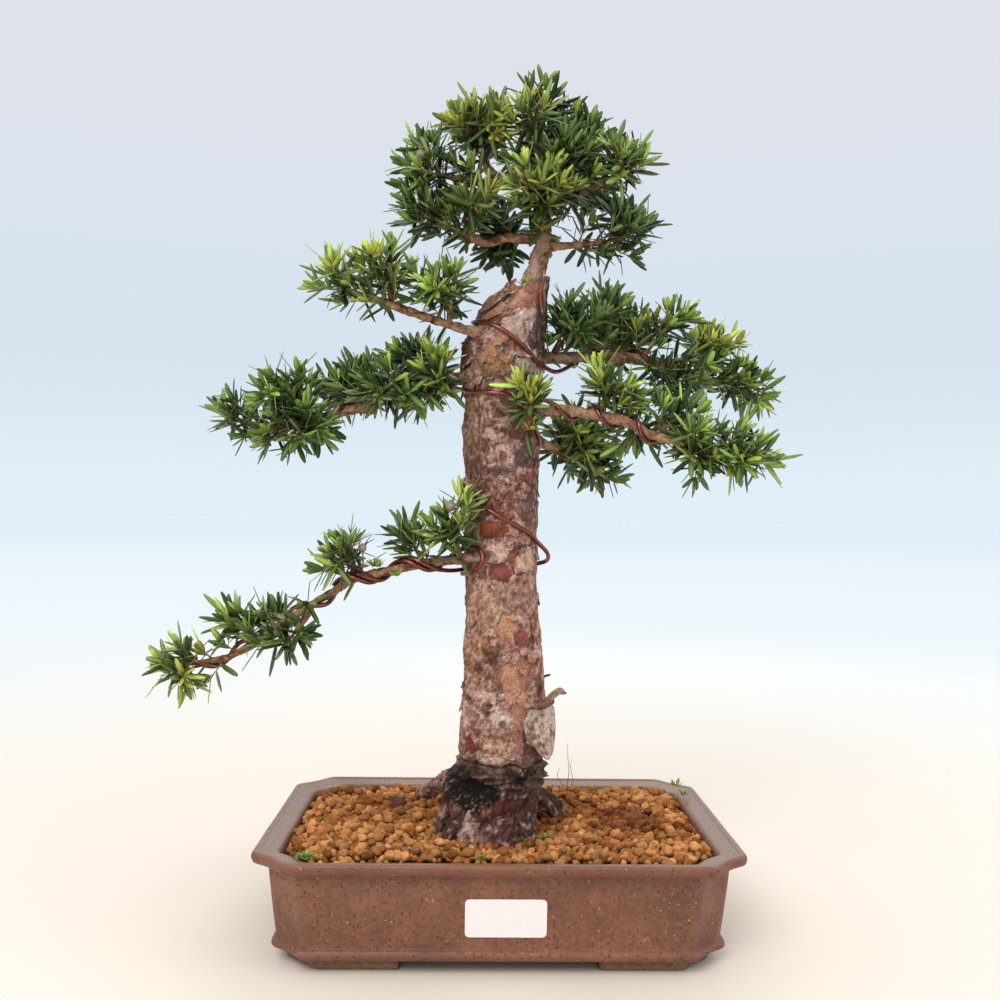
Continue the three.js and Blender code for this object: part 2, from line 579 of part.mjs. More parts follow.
const lengthOf = ({ points }) =>
  points.slice(1).reduce((sum, p, k) => sum + p.distanceTo(points[k]), 0);

// Loose bark that curls off the right of the trunk, low down
function barkCurls() {
  const plate = sheet((u, v) => {
    const angle = rad(mix(-72, -6, u));
    const z = mix(117, 159, v) + 3 * Math.sin(Math.PI * u);
    const lift = -2.2 + 8.5 * Math.sqrt(Math.max(v, 0)) * (0.55 + 0.45 * u) - 3 * v * v;
    return trunkPoint(angle, z, lift);
  }, 6, 5, 1.2);
  const strip = sheet((u, v) => {
    const bend = v * v;
    return vec(26 + 9 * v + 9 * bend, -40 + 5 * u, 148 + 20 * v - 5 * bend + 4 * u);
  }, 2, 6, 1.1);
  const flake = sheet((u, v) => vec(24 + 8 * v + 2 * v * v, -26 + 6 * u, 168 + 8 * v - 2 * v * v), 2, 3, 1);
  return [plate, strip, flake].map((piece) => solidOf(piece));
}

// Wires

// A point beside a branch: 0 degrees is on top, 90 at the front of a branch that runs right
function besideBranch(branch, distance, degrees, away) {
  const { point, along, radius } = placeOn(branch, distance);
  const top = UP.clone().addScaledVector(along, -along.z).normalize();
  const side = along.clone().cross(top);
  const turn = rad(degrees);
  return point.addScaledVector(top, (radius + away) * Math.cos(turn))
    .addScaledVector(side, (radius + away) * Math.sin(turn));
}

function coil(name, from, to, startDegrees, turns) {
  const steps = Math.ceil(Math.abs(turns) * COIL_STEPS);
  const points = [];
  for (let i = 0; i <= steps; i += 1) {
    const t = i / steps;
    const degrees = startDegrees + 360 * turns * t;
    points.push(besideBranch(branches[name], mix(from, to, t), degrees, WIRE_OFF_BRANCH));
  }
  return points;
}

// A stretch that lies on the trunk, from pairs of an angle in degrees and a height
function roundTrunk(stations, stepDegrees = 26) {
  const points = [];
  stations.slice(1).forEach(([toAngle, toZ], k) => {
    const [angle, z] = stations[k];
    const steps = Math.max(1, Math.round(Math.abs(toAngle - angle) / stepDegrees));
    for (let i = k === 0 ? 0 : 1; i <= steps; i += 1) {
      const t = i / steps;
      points.push(trunkPoint(rad(mix(angle, toAngle, t)), mix(z, toZ, t), WIRE_OFF_BARK));
    }
  });
  return points;
}

const WIRES = {
  wire_right_upper: () => [
    ...roundTrunk([[-160, 423], [-146, 420.5], [-125, 415], [-97, 405], [-70, 396], [-40, 385]]),
    vec(31, -30, 380), vec(38, -20, 381),
    ...coil('right_upper', 38, 150, 150, 3.6),
  ],
  wire_left_mid_to_right_mid: () => [
    ...coil('left_mid', 28, 170, 150, -4.4).reverse(),
    vec(-36, -32, 367),
    ...roundTrunk([[-160, 366], [-135, 364], [-109, 362.5], [-80, 361], [-58, 358]]),
    vec(23, -46, 359),
    ...coil('right_mid', 30, 126, 60, 3.4),
  ],
  wire_trunk_to_left_low: () => [
    ...roundTrunk([[-38, 341], [-20, 334], [90, 318], [180, 303], [208, 295], [238, 287],
      [278, 277], [330, 264]]),
    vec(31, -22, 256), vec(31, -10, 250),
    ...roundTrunk([[40, 247], [100, 244], [160, 244], [184, 244]]),
    vec(-35, -28, 243.5),
    ...coil('left_low', 52, 236, 190, 4.6),
  ],
  wire_left_low_second: () => [
    vec(-27, -31, 241.5), vec(-21, -43, 243), vec(-15, -49, 248), vec(-13.5, -48.5, 254),
    vec(-17, -44, 260), vec(-25, -37, 259),
    ...coil('left_low', 40, 122, 32, 2.05),
  ],
};

// Shoots and needles

// A curved path from a start, leaving in the direction out, to an end
function bowed(start, out, end, steps) {
  const middle = start.clone().addScaledVector(out, 0.5 * start.distanceTo(end));
  const curve = new THREE.QuadraticBezierCurve3(start, middle, end);
  return curve.getPoints(steps);
}

// The twig that carries a spray, and where the spray's own shoots begin
function twigFor(spray) {
  const branch = branches[spray.on];
  if (spray.end) {
    const { point, along } = placeOn(branch, lengthOf(branch));
    return { start: point.addScaledVector(along, GAP), out: along };
  }
  const middle = spray.tips.reduce((sum, tip) => sum.add(vec(...tip)), vec(0, 0, 0))
    .multiplyScalar(1 / spray.tips.length);
  const total = lengthOf(branch);
  let nearest = 0;
  for (let s = 0; s <= total; s += 1) {
    const here = placeOn(branch, s).point.distanceTo(middle);
    if (here < placeOn(branch, nearest).point.distanceTo(middle)) nearest = s;
  }
  const reach = placeOn(branch, nearest).point.distanceTo(middle);
  const root = THREE.MathUtils.clamp(nearest - 0.45 * reach, 0.16 * total, total - 6);
  let best = null;
  for (const shift of [0, 3, -3, 6, -6, 9, -9, 12, -12]) {
    const { point, radius } = placeOn(branch, root + shift);
    const end = point.clone().lerp(middle, Math.min(TWIG_SHARE, TWIG_LENGTH / point.distanceTo(middle)));
    end.z += 1.5;
    const out = end.clone().sub(point).normalize();
    const near = point.clone().addScaledVector(out, radius);
    const room = clearanceOf(['wood'], near, end, TWIG_TIP_RADIUS);
    if (best === null || room > best.room) best = { room, point, end, out, radius };
    if (room > GAP) break;
  }
  const radii = [Math.min(TWIG_RADIUS, best.radius), TWIG_TIP_RADIUS];
  take('wood', best.point, best.end, TWIG_RADIUS);
  return {
    start: best.end.clone().addScaledVector(best.out, GAP),
    out: best.out,
    wood: solidOf(tube([best.point, best.end], radii, TWIG_SIDES)),
  };
}

// A path and a way to find a place on it, with the direction and two square directions there.
// The square directions turn as little as possible along the path.
function shootFrom(path, out, whorls, seed) {
  const curve = path.length > 2 ? new THREE.CatmullRomCurve3(path) : new THREE.LineCurve3(...path);
  const level = Math.abs(out.z) > 0.85 ? vec(Math.cos(seed), Math.sin(seed), 0) : UP;
  const side = out.clone().cross(level).normalize();
  return { path, out, curve, whorls, seed, side, length: curve.getLength() };
}

function frameOn({ curve, out, side }, place) {
  const point = curve.getPoint(place);
  const along = place === 0 ? out : curve.getTangent(place);
  const across = side.clone().addScaledVector(along, -side.dot(along)).normalize();
  return { point, along, across, over: along.clone().cross(across) };
}

// The shoots of one spray: one to its first tip, which carries a second one or a side shoot
function shootsOf(name, index, spray, twig) {
  const shoots = [];
  spray.tips.forEach((tip, t) => {
    const end = vec(...tip);
    const fork = t === 0 ? null : frameOn(shoots[0], FORK_PLACE);
    const [start, out] = fork ? [fork.point, fork.along] : [twig.start, twig.out];
    let path = bowed(start, out, end, 2);
    for (let k = 0; k < 8 && pathClearance([name], path.slice(1), SHOOT_RADIUS) < GAP; k += 1) {
      const push = vec(Math.cos(k * 2.4), Math.sin(k * 2.4), 0.6).multiplyScalar(2 + k);
      path = bowed(start, out, end.clone().add(push), 2);
    }
    shoots.push(shootFrom(path, out, t === 0 || spray.end ? LONG_WHORLS : SHORT_WHORLS, index * 10 + t));
  });
  shoots.forEach(({ path }) => takePath(name, path, path.map(() => SHOOT_RADIUS)));
  if (shoots.length > 1) return shoots;
  const { point, along, across } = frameOn(shoots[0], SIDE_PLACE);
  const length = SIDE_LENGTH * (0.8 + 0.35 * chance(index * 7, 1));
  const sign = index % 2 === 0 ? 1 : -1;
  for (const roll of [0, 40, -40, 75, -75, 180, 140]) {
    const turn = rad(roll + 50 * (chance(index, 9) - 0.3));
    const sideways = across.clone().multiplyScalar(sign).applyAxisAngle(along, -sign * turn);
    const heading = along.clone().multiplyScalar(0.72).addScaledVector(sideways, 0.7).normalize();
    const from = point.clone().addScaledVector(heading, 3);
    const end = point.clone().addScaledVector(heading, length);
    const clear = clearanceOf([name], from, end, SHOOT_TIP_RADIUS) > GAP + 1;
    if (clear) {
      take(name, point, end, SHOOT_TIP_RADIUS);
      shoots.push(shootFrom([point, end], heading, SHORT_WHORLS, index * 10 + 5));
      break;
    }
  }
  return shoots;
}

// Where a needle starting at root can point without touching anything else, or null
function freeHeading(name, root, along, out, lean, length, mine) {
  const square = along.clone().cross(out);
  for (const [roll, tilt] of [[0, 0], [22, 0], [-22, 0], [0, -14], [0, 14], [30, 12], [-30, 12]]) {
    const outward = out.clone().multiplyScalar(Math.cos(rad(roll)))
      .addScaledVector(square, Math.sin(rad(roll)));
    const heading = along.clone().multiplyScalar(Math.cos(rad(lean + tilt)))
      .addScaledVector(outward, Math.sin(rad(lean + tilt)));
    const from = root.clone().addScaledVector(heading, 3);
    const end = root.clone().addScaledVector(heading, length);
    const clear = clearanceOf([name], from, end, NEEDLE_HALF_WIDTH + 0.1) > GAP;
    const apart = mine.every((other) => (
      distanceBetween(from, end, other.from, other.end) > 2 * NEEDLE_HALF_WIDTH));
    if (clear && apart) {
      take(name, from, end, NEEDLE_HALF_WIDTH);
      return heading;
    }
  }
  return null;
}

// The widest place of a needle, as two edges and a keel, and its point
function bladeEnds(root, heading, along, length) {
  const across = along.clone().cross(heading).normalize();
  const above = heading.clone().cross(across);
  const middle = root.clone().addScaledVector(heading, length * WIDEST_AT);
  const edge = (side) => middle.clone().addScaledVector(across, side * NEEDLE_HALF_WIDTH)
    .addScaledVector(above, NEEDLE_DEPTH / 3);
  return [
    edge(1), edge(-1), middle.clone().addScaledVector(above, -NEEDLE_DEPTH * 2 / 3),
    root.clone().addScaledVector(heading, length),
  ];
}

// The faces of a needle that grows from the quad a, b, c, d of the shoot
function bladeFaces([a, b, c, d], [right, left, keel, tip]) {
  return [
    c, d, left, c, left, right, d, a, left, a, keel, left, a, b, keel, b, c, right, b, right, keel,
    right, left, tip, left, keel, tip, keel, right, tip,
  ];
}

// A slim three-sided shoot with whorls of three needles drawn out of its faces, and one at its end
function shootSolid(name, shoot, mine) {
  const { whorls } = shoot;
  const half = WHORL_LENGTH / 2 / shoot.length;
  const places = [[0, 0], ...whorls.flatMap(([place], w) => [[place - half, w], [place + half, w]])];
  places.push([1, whorls.length]);
  const points = [];
  const faces = [];
  const centres = [];
  places.forEach(([place, w]) => {
    const { point, across, over } = frameOn(shoot, place);
    const r = mix(SHOOT_RADIUS, SHOOT_TIP_RADIUS, place);
    for (let i = 0; i < SHOOT_SIDES; i += 1) {
      const turn = 2 * Math.PI * (i / SHOOT_SIDES + w / 6) + shoot.seed;
      points.push(point.clone()
        .addScaledVector(across, r * Math.cos(turn))
        .addScaledVector(over, r * Math.sin(turn)));
    }
    centres.push(point);
  });
  faces.push(0, 2, 1);
  for (let k = 0; k + 1 < places.length; k += 1) {
    const isWhorl = k % 2 === 1 && k + 2 < places.length;
    for (let i = 0; i < SHOOT_SIDES; i += 1) {
      const j = (i + 1) % SHOOT_SIDES;
      const [a, b, c, d] = [3 * k + i, 3 * k + j, 3 * k + 3 + j, 3 * k + 3 + i];
      let heading = null;
      const length = NEEDLE_LENGTH * (0.86 + 0.26 * chance(shoot.seed, 3 * k + i));
      const root = [a, b, c, d].reduce((sum, v) => sum.add(points[v]), vec(0, 0, 0)).multiplyScalar(0.25);
      const along = centres[k + 1].clone().sub(centres[k]).normalize();
      if (isWhorl) {
        const out = root.clone().sub(centres[k]);
        out.addScaledVector(along, -out.dot(along)).normalize();
        heading = freeHeading(name, root, along, out, whorls[(k - 1) / 2][1], length, mine);
      }
      if (heading === null) {
        // Between two whorls the ring turns by 60 degrees, so the shorter diagonal is b to d
        faces.push(a, b, d, b, c, d);
      } else {
        const first = points.length;
        points.push(...bladeEnds(root, heading, along, length));
        faces.push(...bladeFaces([a, b, c, d], [first, first + 1, first + 2, first + 3]));
      }
    }
  }
  const last = 3 * (places.length - 1);
  const { point, along, over } = frameOn(shoot, 1);
  const endHeading = freeHeading(name, point, along, over, 4, SPIKE_LENGTH, mine);
  if (endHeading === null) {
    faces.push(last, last + 1, last + 2);
  } else {
    const tip = points.length;
    points.push(point.clone().addScaledVector(endHeading, SPIKE_LENGTH));
    for (let i = 0; i < SHOOT_SIDES; i += 1) faces.push(last + i, last + (i + 1) % SHOOT_SIDES, tip);
  }
  return solidOf(geometryOf(points, faces));
}

function seedSolid({ along, side }, { path }) {
  const curve = new THREE.CatmullRomCurve3(path);
  const out = vec(...side);
  const tangent = curve.getTangent(along);
  out.addScaledVector(tangent, -out.dot(tangent)).normalize();
  const centre = curve.getPoint(along).addScaledVector(out, SEED_RADIUS + SEED_SEAT);
  const ball = new THREE.SphereGeometry(SEED_RADIUS, 7, 5).translate(...centre.toArray());
  return { centre, solid: solidOf(ball) };
}

// Soil

function soilTop(x, y) {
  return SOIL_LEVEL + SOIL_MOUND * Math.exp(-((x / 100) ** 2) - ((y + 20) / 70) ** 2);
}

// A field of grains: every third point of a triangular lattice stands up, the others lie low
function soilField() {
  const rowStep = GRAIN_STEP * Math.sqrt(3) / 2;
  const columns = Math.ceil(2 * (INNER_TOP_X + 6) / GRAIN_STEP);
  const rows = Math.ceil(2 * (INNER_TOP_Y + 6) / rowStep);
  const points = [];
  for (let j = 0; j <= rows; j += 1) {
    for (let i = 0; i <= columns; i += 1) {
      const x = (i - columns / 2 + (j % 2) / 2 + GRAIN_JITTER * (chance(i, j) - 0.5)) * GRAIN_STEP;
      const y = (j - rows / 2 + GRAIN_JITTER * (chance(j, i) - 0.5)) * rowStep;
      const peak = (i + (j % 2 === 0 ? 0 : 2)) % 3 === 0;
      const rise = peak ? GRAIN_RISE * (0.5 + 0.7 * chance(i, j + 40)) : -0.4 - chance(i, j + 80);
      points.push(vec(x, y, soilTop(x, y) + rise));
    }
  }
  return { points, columns, rows };
}

function soilBlock() {
  const { points, columns, rows } = soilField();
  const row = columns + 1;
  const faces = [];
  for (let j = 0; j < rows; j += 1) {
    for (let i = 0; i < columns; i += 1) {
      const a = j * row + i;
      const b = a + row;
      if (j % 2 === 0) faces.push(a, a + 1, b, a + 1, b + 1, b);
      else faces.push(a, b + 1, b, a, a + 1, b + 1);
    }
  }
  const rim = [];
  for (let i = 0; i < columns; i += 1) rim.push(i);
  for (let j = 0; j < rows; j += 1) rim.push(j * row + columns);
  for (let i = columns; i > 0; i -= 1) rim.push(rows * row + i);
  for (let j = rows; j > 0; j -= 1) rim.push(j * row);
  const first = points.length;
  rim.forEach((k) => points.push(vec(points[k].x, points[k].y, FLOOR_Z - 5)));
  const centre = points.length;
  points.push(vec(0, 0, FLOOR_Z - 5));
  rim.forEach((k, i) => {
    const next = (i + 1) % rim.length;
    faces.push(first + i, first + next, rim[next], first + i, rim[next], k);
    faces.push(centre, first + next, first + i);
  });
  return solidOf(geometryOf(points, faces));
}

function soilSolid(screens) {
  const inset = GAP + 0.1;
  const inside = solidOf(loft([
    potRing(INNER_LOW_X - inset, INNER_LOW_Y - inset, POT_CUT - 6, FLOOR_Z + GAP),
    potRing(INNER_TOP_X - inset, INNER_TOP_Y - inset, POT_CUT - 5, POT_HEIGHT - 8),
    potRing(INNER_TOP_X - inset, INNER_TOP_Y - inset, POT_CUT - 5, POT_HEIGHT + 9),
  ]));
  let soil = soilBlock().intersect(inside);
  const heights = [TRUNK[0][0] - GAP, ...TRUNK.slice(0, 6).map(([z]) => z)];
  soil = soil.subtract(solidOf(loft(heights.map((z) => trunkRing(z, STEM_HOLE)))));
  ROOTS.forEach((root) => {
    const { points, radii } = sampleRoute(root, 1);
    const tail = points.at(-1).clone().sub(points.at(-2)).normalize();
    const longer = [...points, points.at(-1).clone().addScaledVector(tail, GAP + 0.1)];
    const wider = [...radii, radii.at(-1)].map((r) => r + STEM_HOLE);
    soil = soil.subtract(solidOf(tube(longer, wider, ROOT_SIDES)));
  });
  screens.forEach((x) => {
    const size = SCREEN_SIZE + 2 * GAP;
    const box = new THREE.BoxGeometry(size, size, 2 * (SCREEN_THICK + 2 * GAP));
    soil = soil.subtract(solidOf(box.translate(x, 0, FLOOR_Z)));
  });
  return soil.decompose().sort((a, b) => b.volume() - a.volume())[0];
}

// The whole bonsai

function build() {
  const bonsai = new THREE.Group();
  const screens = [-DRAIN_X, DRAIN_X];
  bonsai.add(meshOf('pot', potSolid(), STONEWARE));
  bonsai.add(meshOf('soil', soilSolid(screens), CLAY_SOIL));
  screens.forEach((x, k) => bonsai.add(meshOf(`drain_screen_${k + 1}`, screenSolid(x), SCREEN_PLASTIC)));
  bonsai.add(meshOf('blank_label', labelSolid(), PAPER));

  const wood = [trunkSolid(), ...barkCurls()];
  for (let k = 0; k + 1 < TRUNK.length; k += 1) {
    const [[z, x, y, r], [nextZ, nextX, nextY, nextR]] = [TRUNK[k], TRUNK[k + 1]];
    take('wood', vec(x, y, z), vec(nextX, nextY, nextZ), Math.max(r, nextR) - 0.5);
  }
  ROOTS.forEach((root) => {
    const { points, radii } = sampleRoute(root, 1);
    wood.push(solidOf(tube(points, radii, ROOT_SIDES)));
  });
  Object.values(branches).forEach(({ points, radii }) => {
    wood.push(solidOf(tube(points, radii, BRANCH_SIDES)));
    takePath('wood', points, radii);
  });

  const wires = Object.entries(WIRES).map(([name, route]) => [name, route()]);
  wires.forEach(([name, points]) => {
    takePath(name, points, points.map(() => WIRE_RADIUS));
    bonsai.add(meshOf(name, solidOf(tube(points, points.map(() => WIRE_RADIUS), WIRE_SIDES)), COPPER_WIRE));
  });

  const twigs = Object.entries(SPRAYS).map(([name, spray], index) => {
    const twig = twigFor(spray);
    if (twig.wood) wood.push(twig.wood);
    return { name, spray, index, twig };
  });
  bonsai.add(meshOf('trunk_and_branches', joined(wood), BARK));

  const sprays = twigs.map(({ name, spray, index, twig }) => (
    { name, shoots: shootsOf(name, index, spray, twig) }));
  Object.entries(SEEDS).forEach(([name, seed]) => {
    const carrier = sprays.find((spray) => spray.name === seed.spray);
    const { centre, solid } = seedSolid(seed, carrier.shoots[seed.shoot]);
    take(name, centre, centre, SEED_RADIUS);
    bonsai.add(meshOf(name, solid, SEED_COAT));
  });
  sprays.forEach(({ name, shoots }) => {
    const others = (shoot) => shoots.filter((other) => other !== shoot)
      .map(({ path }) => ({ from: path[0], end: path.at(-1) }));
    const solids = shoots.map((shoot) => shootSolid(name, shoot, others(shoot)));
    bonsai.add(meshOf(`spray_${name}`, joined(solids), NEEDLE_GREEN));
  });
  return bonsai;
}

// The finished group stands with the middle of its box over the origin and its feet on z = 0.
const bonsai = build();
const box = new THREE.Box3().setFromObject(bonsai);
const middle = box.getCenter(vec(0, 0, 0));
bonsai.position.set(-middle.x, -middle.y, -box.min.z);
const group = new THREE.Group();
group.add(bonsai);

export default group;
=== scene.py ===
"""Dresses a potted Japanese yew bonsai: bark, needles, training wires, stoneware pot and clay soil.

Lengths are in millimetres in the tree's own frame, with z = 0 under the pot's feet and x = y = 0 in
the middle of the pot, until they go into a mesh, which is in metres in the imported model's frame.
"""
import itertools
import logging
from dataclasses import dataclass, field
from enum import Enum
from typing import Callable, Sequence

import bpy
import numpy as np
from mathutils import Matrix, Vector
from mathutils.geometry import tessellate_polygon


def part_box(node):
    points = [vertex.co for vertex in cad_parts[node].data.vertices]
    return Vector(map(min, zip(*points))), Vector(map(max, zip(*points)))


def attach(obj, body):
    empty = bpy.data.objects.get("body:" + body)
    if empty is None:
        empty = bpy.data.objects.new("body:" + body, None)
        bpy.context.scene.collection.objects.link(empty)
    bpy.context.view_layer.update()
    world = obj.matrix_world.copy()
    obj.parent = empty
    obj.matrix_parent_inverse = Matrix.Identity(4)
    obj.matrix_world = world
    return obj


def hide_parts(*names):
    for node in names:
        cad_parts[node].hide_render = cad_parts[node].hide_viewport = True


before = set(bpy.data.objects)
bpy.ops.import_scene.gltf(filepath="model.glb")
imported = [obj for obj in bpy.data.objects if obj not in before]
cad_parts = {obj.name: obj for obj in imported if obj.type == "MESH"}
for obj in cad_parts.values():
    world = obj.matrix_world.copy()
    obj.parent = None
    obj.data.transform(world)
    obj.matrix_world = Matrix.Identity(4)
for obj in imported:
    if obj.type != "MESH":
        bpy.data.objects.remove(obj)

Array = np.ndarray
Node = bpy.types.Node
Socket = bpy.types.NodeSocket
Material = bpy.types.Material
Colour = tuple[float, float, float]
LOG = logging.getLogger("bonsai")
METRES = 0.001
GOLDEN_ANGLE = np.radians(137.508)
UP = np.array([0.0, 0.0, 1.0])

# Trunk: height, centre x, centre y, radius
TRUNK = np.array([
    (50, -5, -24, 26), (60, -5, -24, 26.5), (71, -4.7, -24, 28), (79, -5.2, -23.5, 30),
    (86, -5.8, -23, 32.5), (93, -5.9, -23, 34), (100, -4.6, -22.6, 33.6), (107, -2.6, -22.2, 32),
    (113, -0.4, -22, 30.4), (120, 0.7, -22, 29.4), (132, 1.3, -21.6, 28.5), (148, 1.7, -21, 27.6),
    (164, 1.7, -21, 27), (180, 1.6, -20.5, 26.3), (196, 1.3, -20, 25.6), (212, 1, -20, 24.8),
    (228, 0.6, -20, 24.7), (244, 0.2, -20, 24.7), (260, 0.2, -20, 24.5), (276, 0.3, -20, 24.2),
    (292, 0.3, -20, 24.2), (308, -0.2, -20, 24.4), (324, -0.9, -20, 24.8), (340, -1.5, -20, 25),
    (356, -1.9, -20, 25.4), (370, -1.8, -20, 26.6), (384, -1.6, -20, 27.8), (398, -1.4, -20, 27.8),
    (410, 0.6, -20, 26.6), (421, 3, -20, 25.2), (432, 5, -20, 23.8)], float)

# Branches: points x, y, z and radius
ROUTES: dict[str, list[tuple[float, ...]]] = {
    "leader": [(17, -20, 422, 9), (19, -20, 440, 8.2), (22, -20, 455, 6.6), (26, -19, 468, 6.2),
               (25, -16, 487, 6), (27, -14, 505, 5), (24, -14, 526, 4), (21, -14, 546, 3),
               (22, -14, 560, 2)],
    "crown_low_left": [(22, -18, 473, 3), (-2, -24, 471, 2.9), (-14, -26, 467, 2.7),
                       (-28, -30, 471, 2.4), (-44, -33, 477, 2)],
    "crown_low_right": [(24, -19, 467, 2.8), (50, -26, 467, 2.3), (68, -32, 468, 1.8)],
    "crown_right": [(25, -16, 495, 3.8), (38, -20, 499, 3.4), (56, -28, 505, 2.8), (68, -32, 511, 2)],
    "crown_left": [(26, -14, 508, 3.4), (5, -20, 510, 3.1), (-20, -28, 508, 2.6), (-38, -33, 509, 2)],
    "crown_upright": [(24, -14, 518, 3.6), (4, -9, 516, 3.4), (-9, -5, 521, 3.3), (-15, 0, 532, 3),
                      (-13, 2, 550, 2.2)],
    "crown_back": [(26, -15, 498, 3), (28, 8, 508, 2.8), (28, 26, 522, 2.3), (27, 36, 534, 1.8)],
    "left_upper": [(-6, -30, 399, 4.6), (-20, -36, 404, 3.6), (-37, -44, 407, 3), (-61, -54, 413, 2.8),
                   (-78, -60, 418, 2.6), (-99, -66, 423, 1.9)],
    "left_mid": [(-8, -24, 376, 5), (-24, -26, 376, 4.2), (-36, -22, 374, 3.7), (-51, -16, 369, 3.5),
                 (-68, -12, 363, 3.4), (-99, -8, 355, 3.2), (-124, -6, 348, 3), (-149, -6, 341, 2.6),
                 (-173, -8, 341, 2)],
    "left_low": [(2, -26, 257, 5), (-9, -38, 256, 4.6), (-18, -38, 254, 4), (-31, -35, 251, 3.4),
                 (-49, -34, 249, 3.1), (-82, -38, 242, 3), (-100, -40, 237, 2.8), (-111, -42, 230, 2.7),
                 (-139, -48, 212, 2.5), (-164, -54, 195, 2.3), (-178, -58, 187, 2.1),
                 (-196, -62, 184, 1.8)],
    "left_low_fork": [(-126, -45, 220, 2), (-129, -50, 212, 1.8), (-134, -58, 204, 1.6)],
    "right_upper": [(10, -16, 389, 5.2), (28, -12, 391, 4.4), (61, 0, 394, 4), (88, 8, 395, 4),
                    (109, 12, 393, 4.2), (130, 14, 388, 3.4), (142, 14, 382, 2.8), (156, 13, 381, 2.1)],
    "right_mid": [(8, -30, 352, 4.6), (26, -37, 352, 3.9), (42, -44, 352, 3.5), (60, -52, 348, 3.5),
                  (77, -58, 344, 3.4), (94, -64, 335, 2.9), (111, -70, 330, 2.6), (132, -77, 325, 2)],
    "right_back": [(10, -8, 338, 4.2), (25, 3, 335, 3.6), (42, 20, 328, 2.9), (54, 30, 324, 2.1)],
    "front_shoot": [(10, -34, 339, 2.8), (15, -45, 343, 2.2), (16, -52, 352, 1.6)],
}

@dataclass(frozen=True)
class Root:
    """A surface root: its points x, y, z and radius, and the colour code of its bark."""
    route: tuple[tuple[float, float, float, float], ...]
    tint: str


ROOTS = [
    Root(((-18, -8, 100, 9), (-34, 14, 91, 7.2), (-50, 42, 77, 5.4), (-58, 58, 66, 4),
          (-62, 66, 60, 3)), "a87a6a"),
    Root(((14, -12, 94, 9), (30, 4, 83, 6.6), (42, 17, 73, 4.8), (50, 25, 62, 3.4)), "66452f"),
    Root(((-14, -34, 84, 10), (-18, -50, 76, 8), (-22, -60, 66, 6.4), (-24, -64, 58, 5)), "b58b78"),
    Root(((2, -38, 84, 11), (3, -54, 74, 8.6), (6, -63, 66, 6.6), (8, -67, 58, 5)), "6d4036"),
    Root(((0, 0, 90, 9), (2, 20, 78, 6.4), (6, 36, 68, 4.6), (8, 42, 60, 3.6)), "6a5144"),
    Root(((-22, -36, 86, 7), (-30, -48, 74, 6), (-35, -54, 60, 4.6)), "5d3a30"),
    Root(((-6, -42, 82, 7), (-8, -57, 71, 5.4), (-8, -64, 60, 4)), "875c4f"),
    Root(((12, -42, 86, 7), (17, -52, 73, 5.6), (20, -58, 60, 4)), "54332a"),
    Root(((-28, -26, 88, 6), (-38, -32, 75, 5), (-43, -36, 61, 3.6)), "6f4a3d"),
    Root(((20, -18, 92, 6), (34, -12, 80, 4.4), (43, -8, 70, 3.2), (50, -6, 62, 2.4)), "6f4e38"),
]


@dataclass(frozen=True)
class SprayPlan:
    """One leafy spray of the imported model.

    on: the branch that carries it; tips: where its shoots end; fresh: share of new yellow-green growth;
    full: how long and many its side shoots are; end: whether it ends that branch; shift: how far its
    twig is moved along the branch.
    """
    on: str
    tips: tuple[tuple[float, float, float], ...]
    fresh: float = 0.35
    full: float = 1.0
    end: bool = False
    shift: float = 0.0


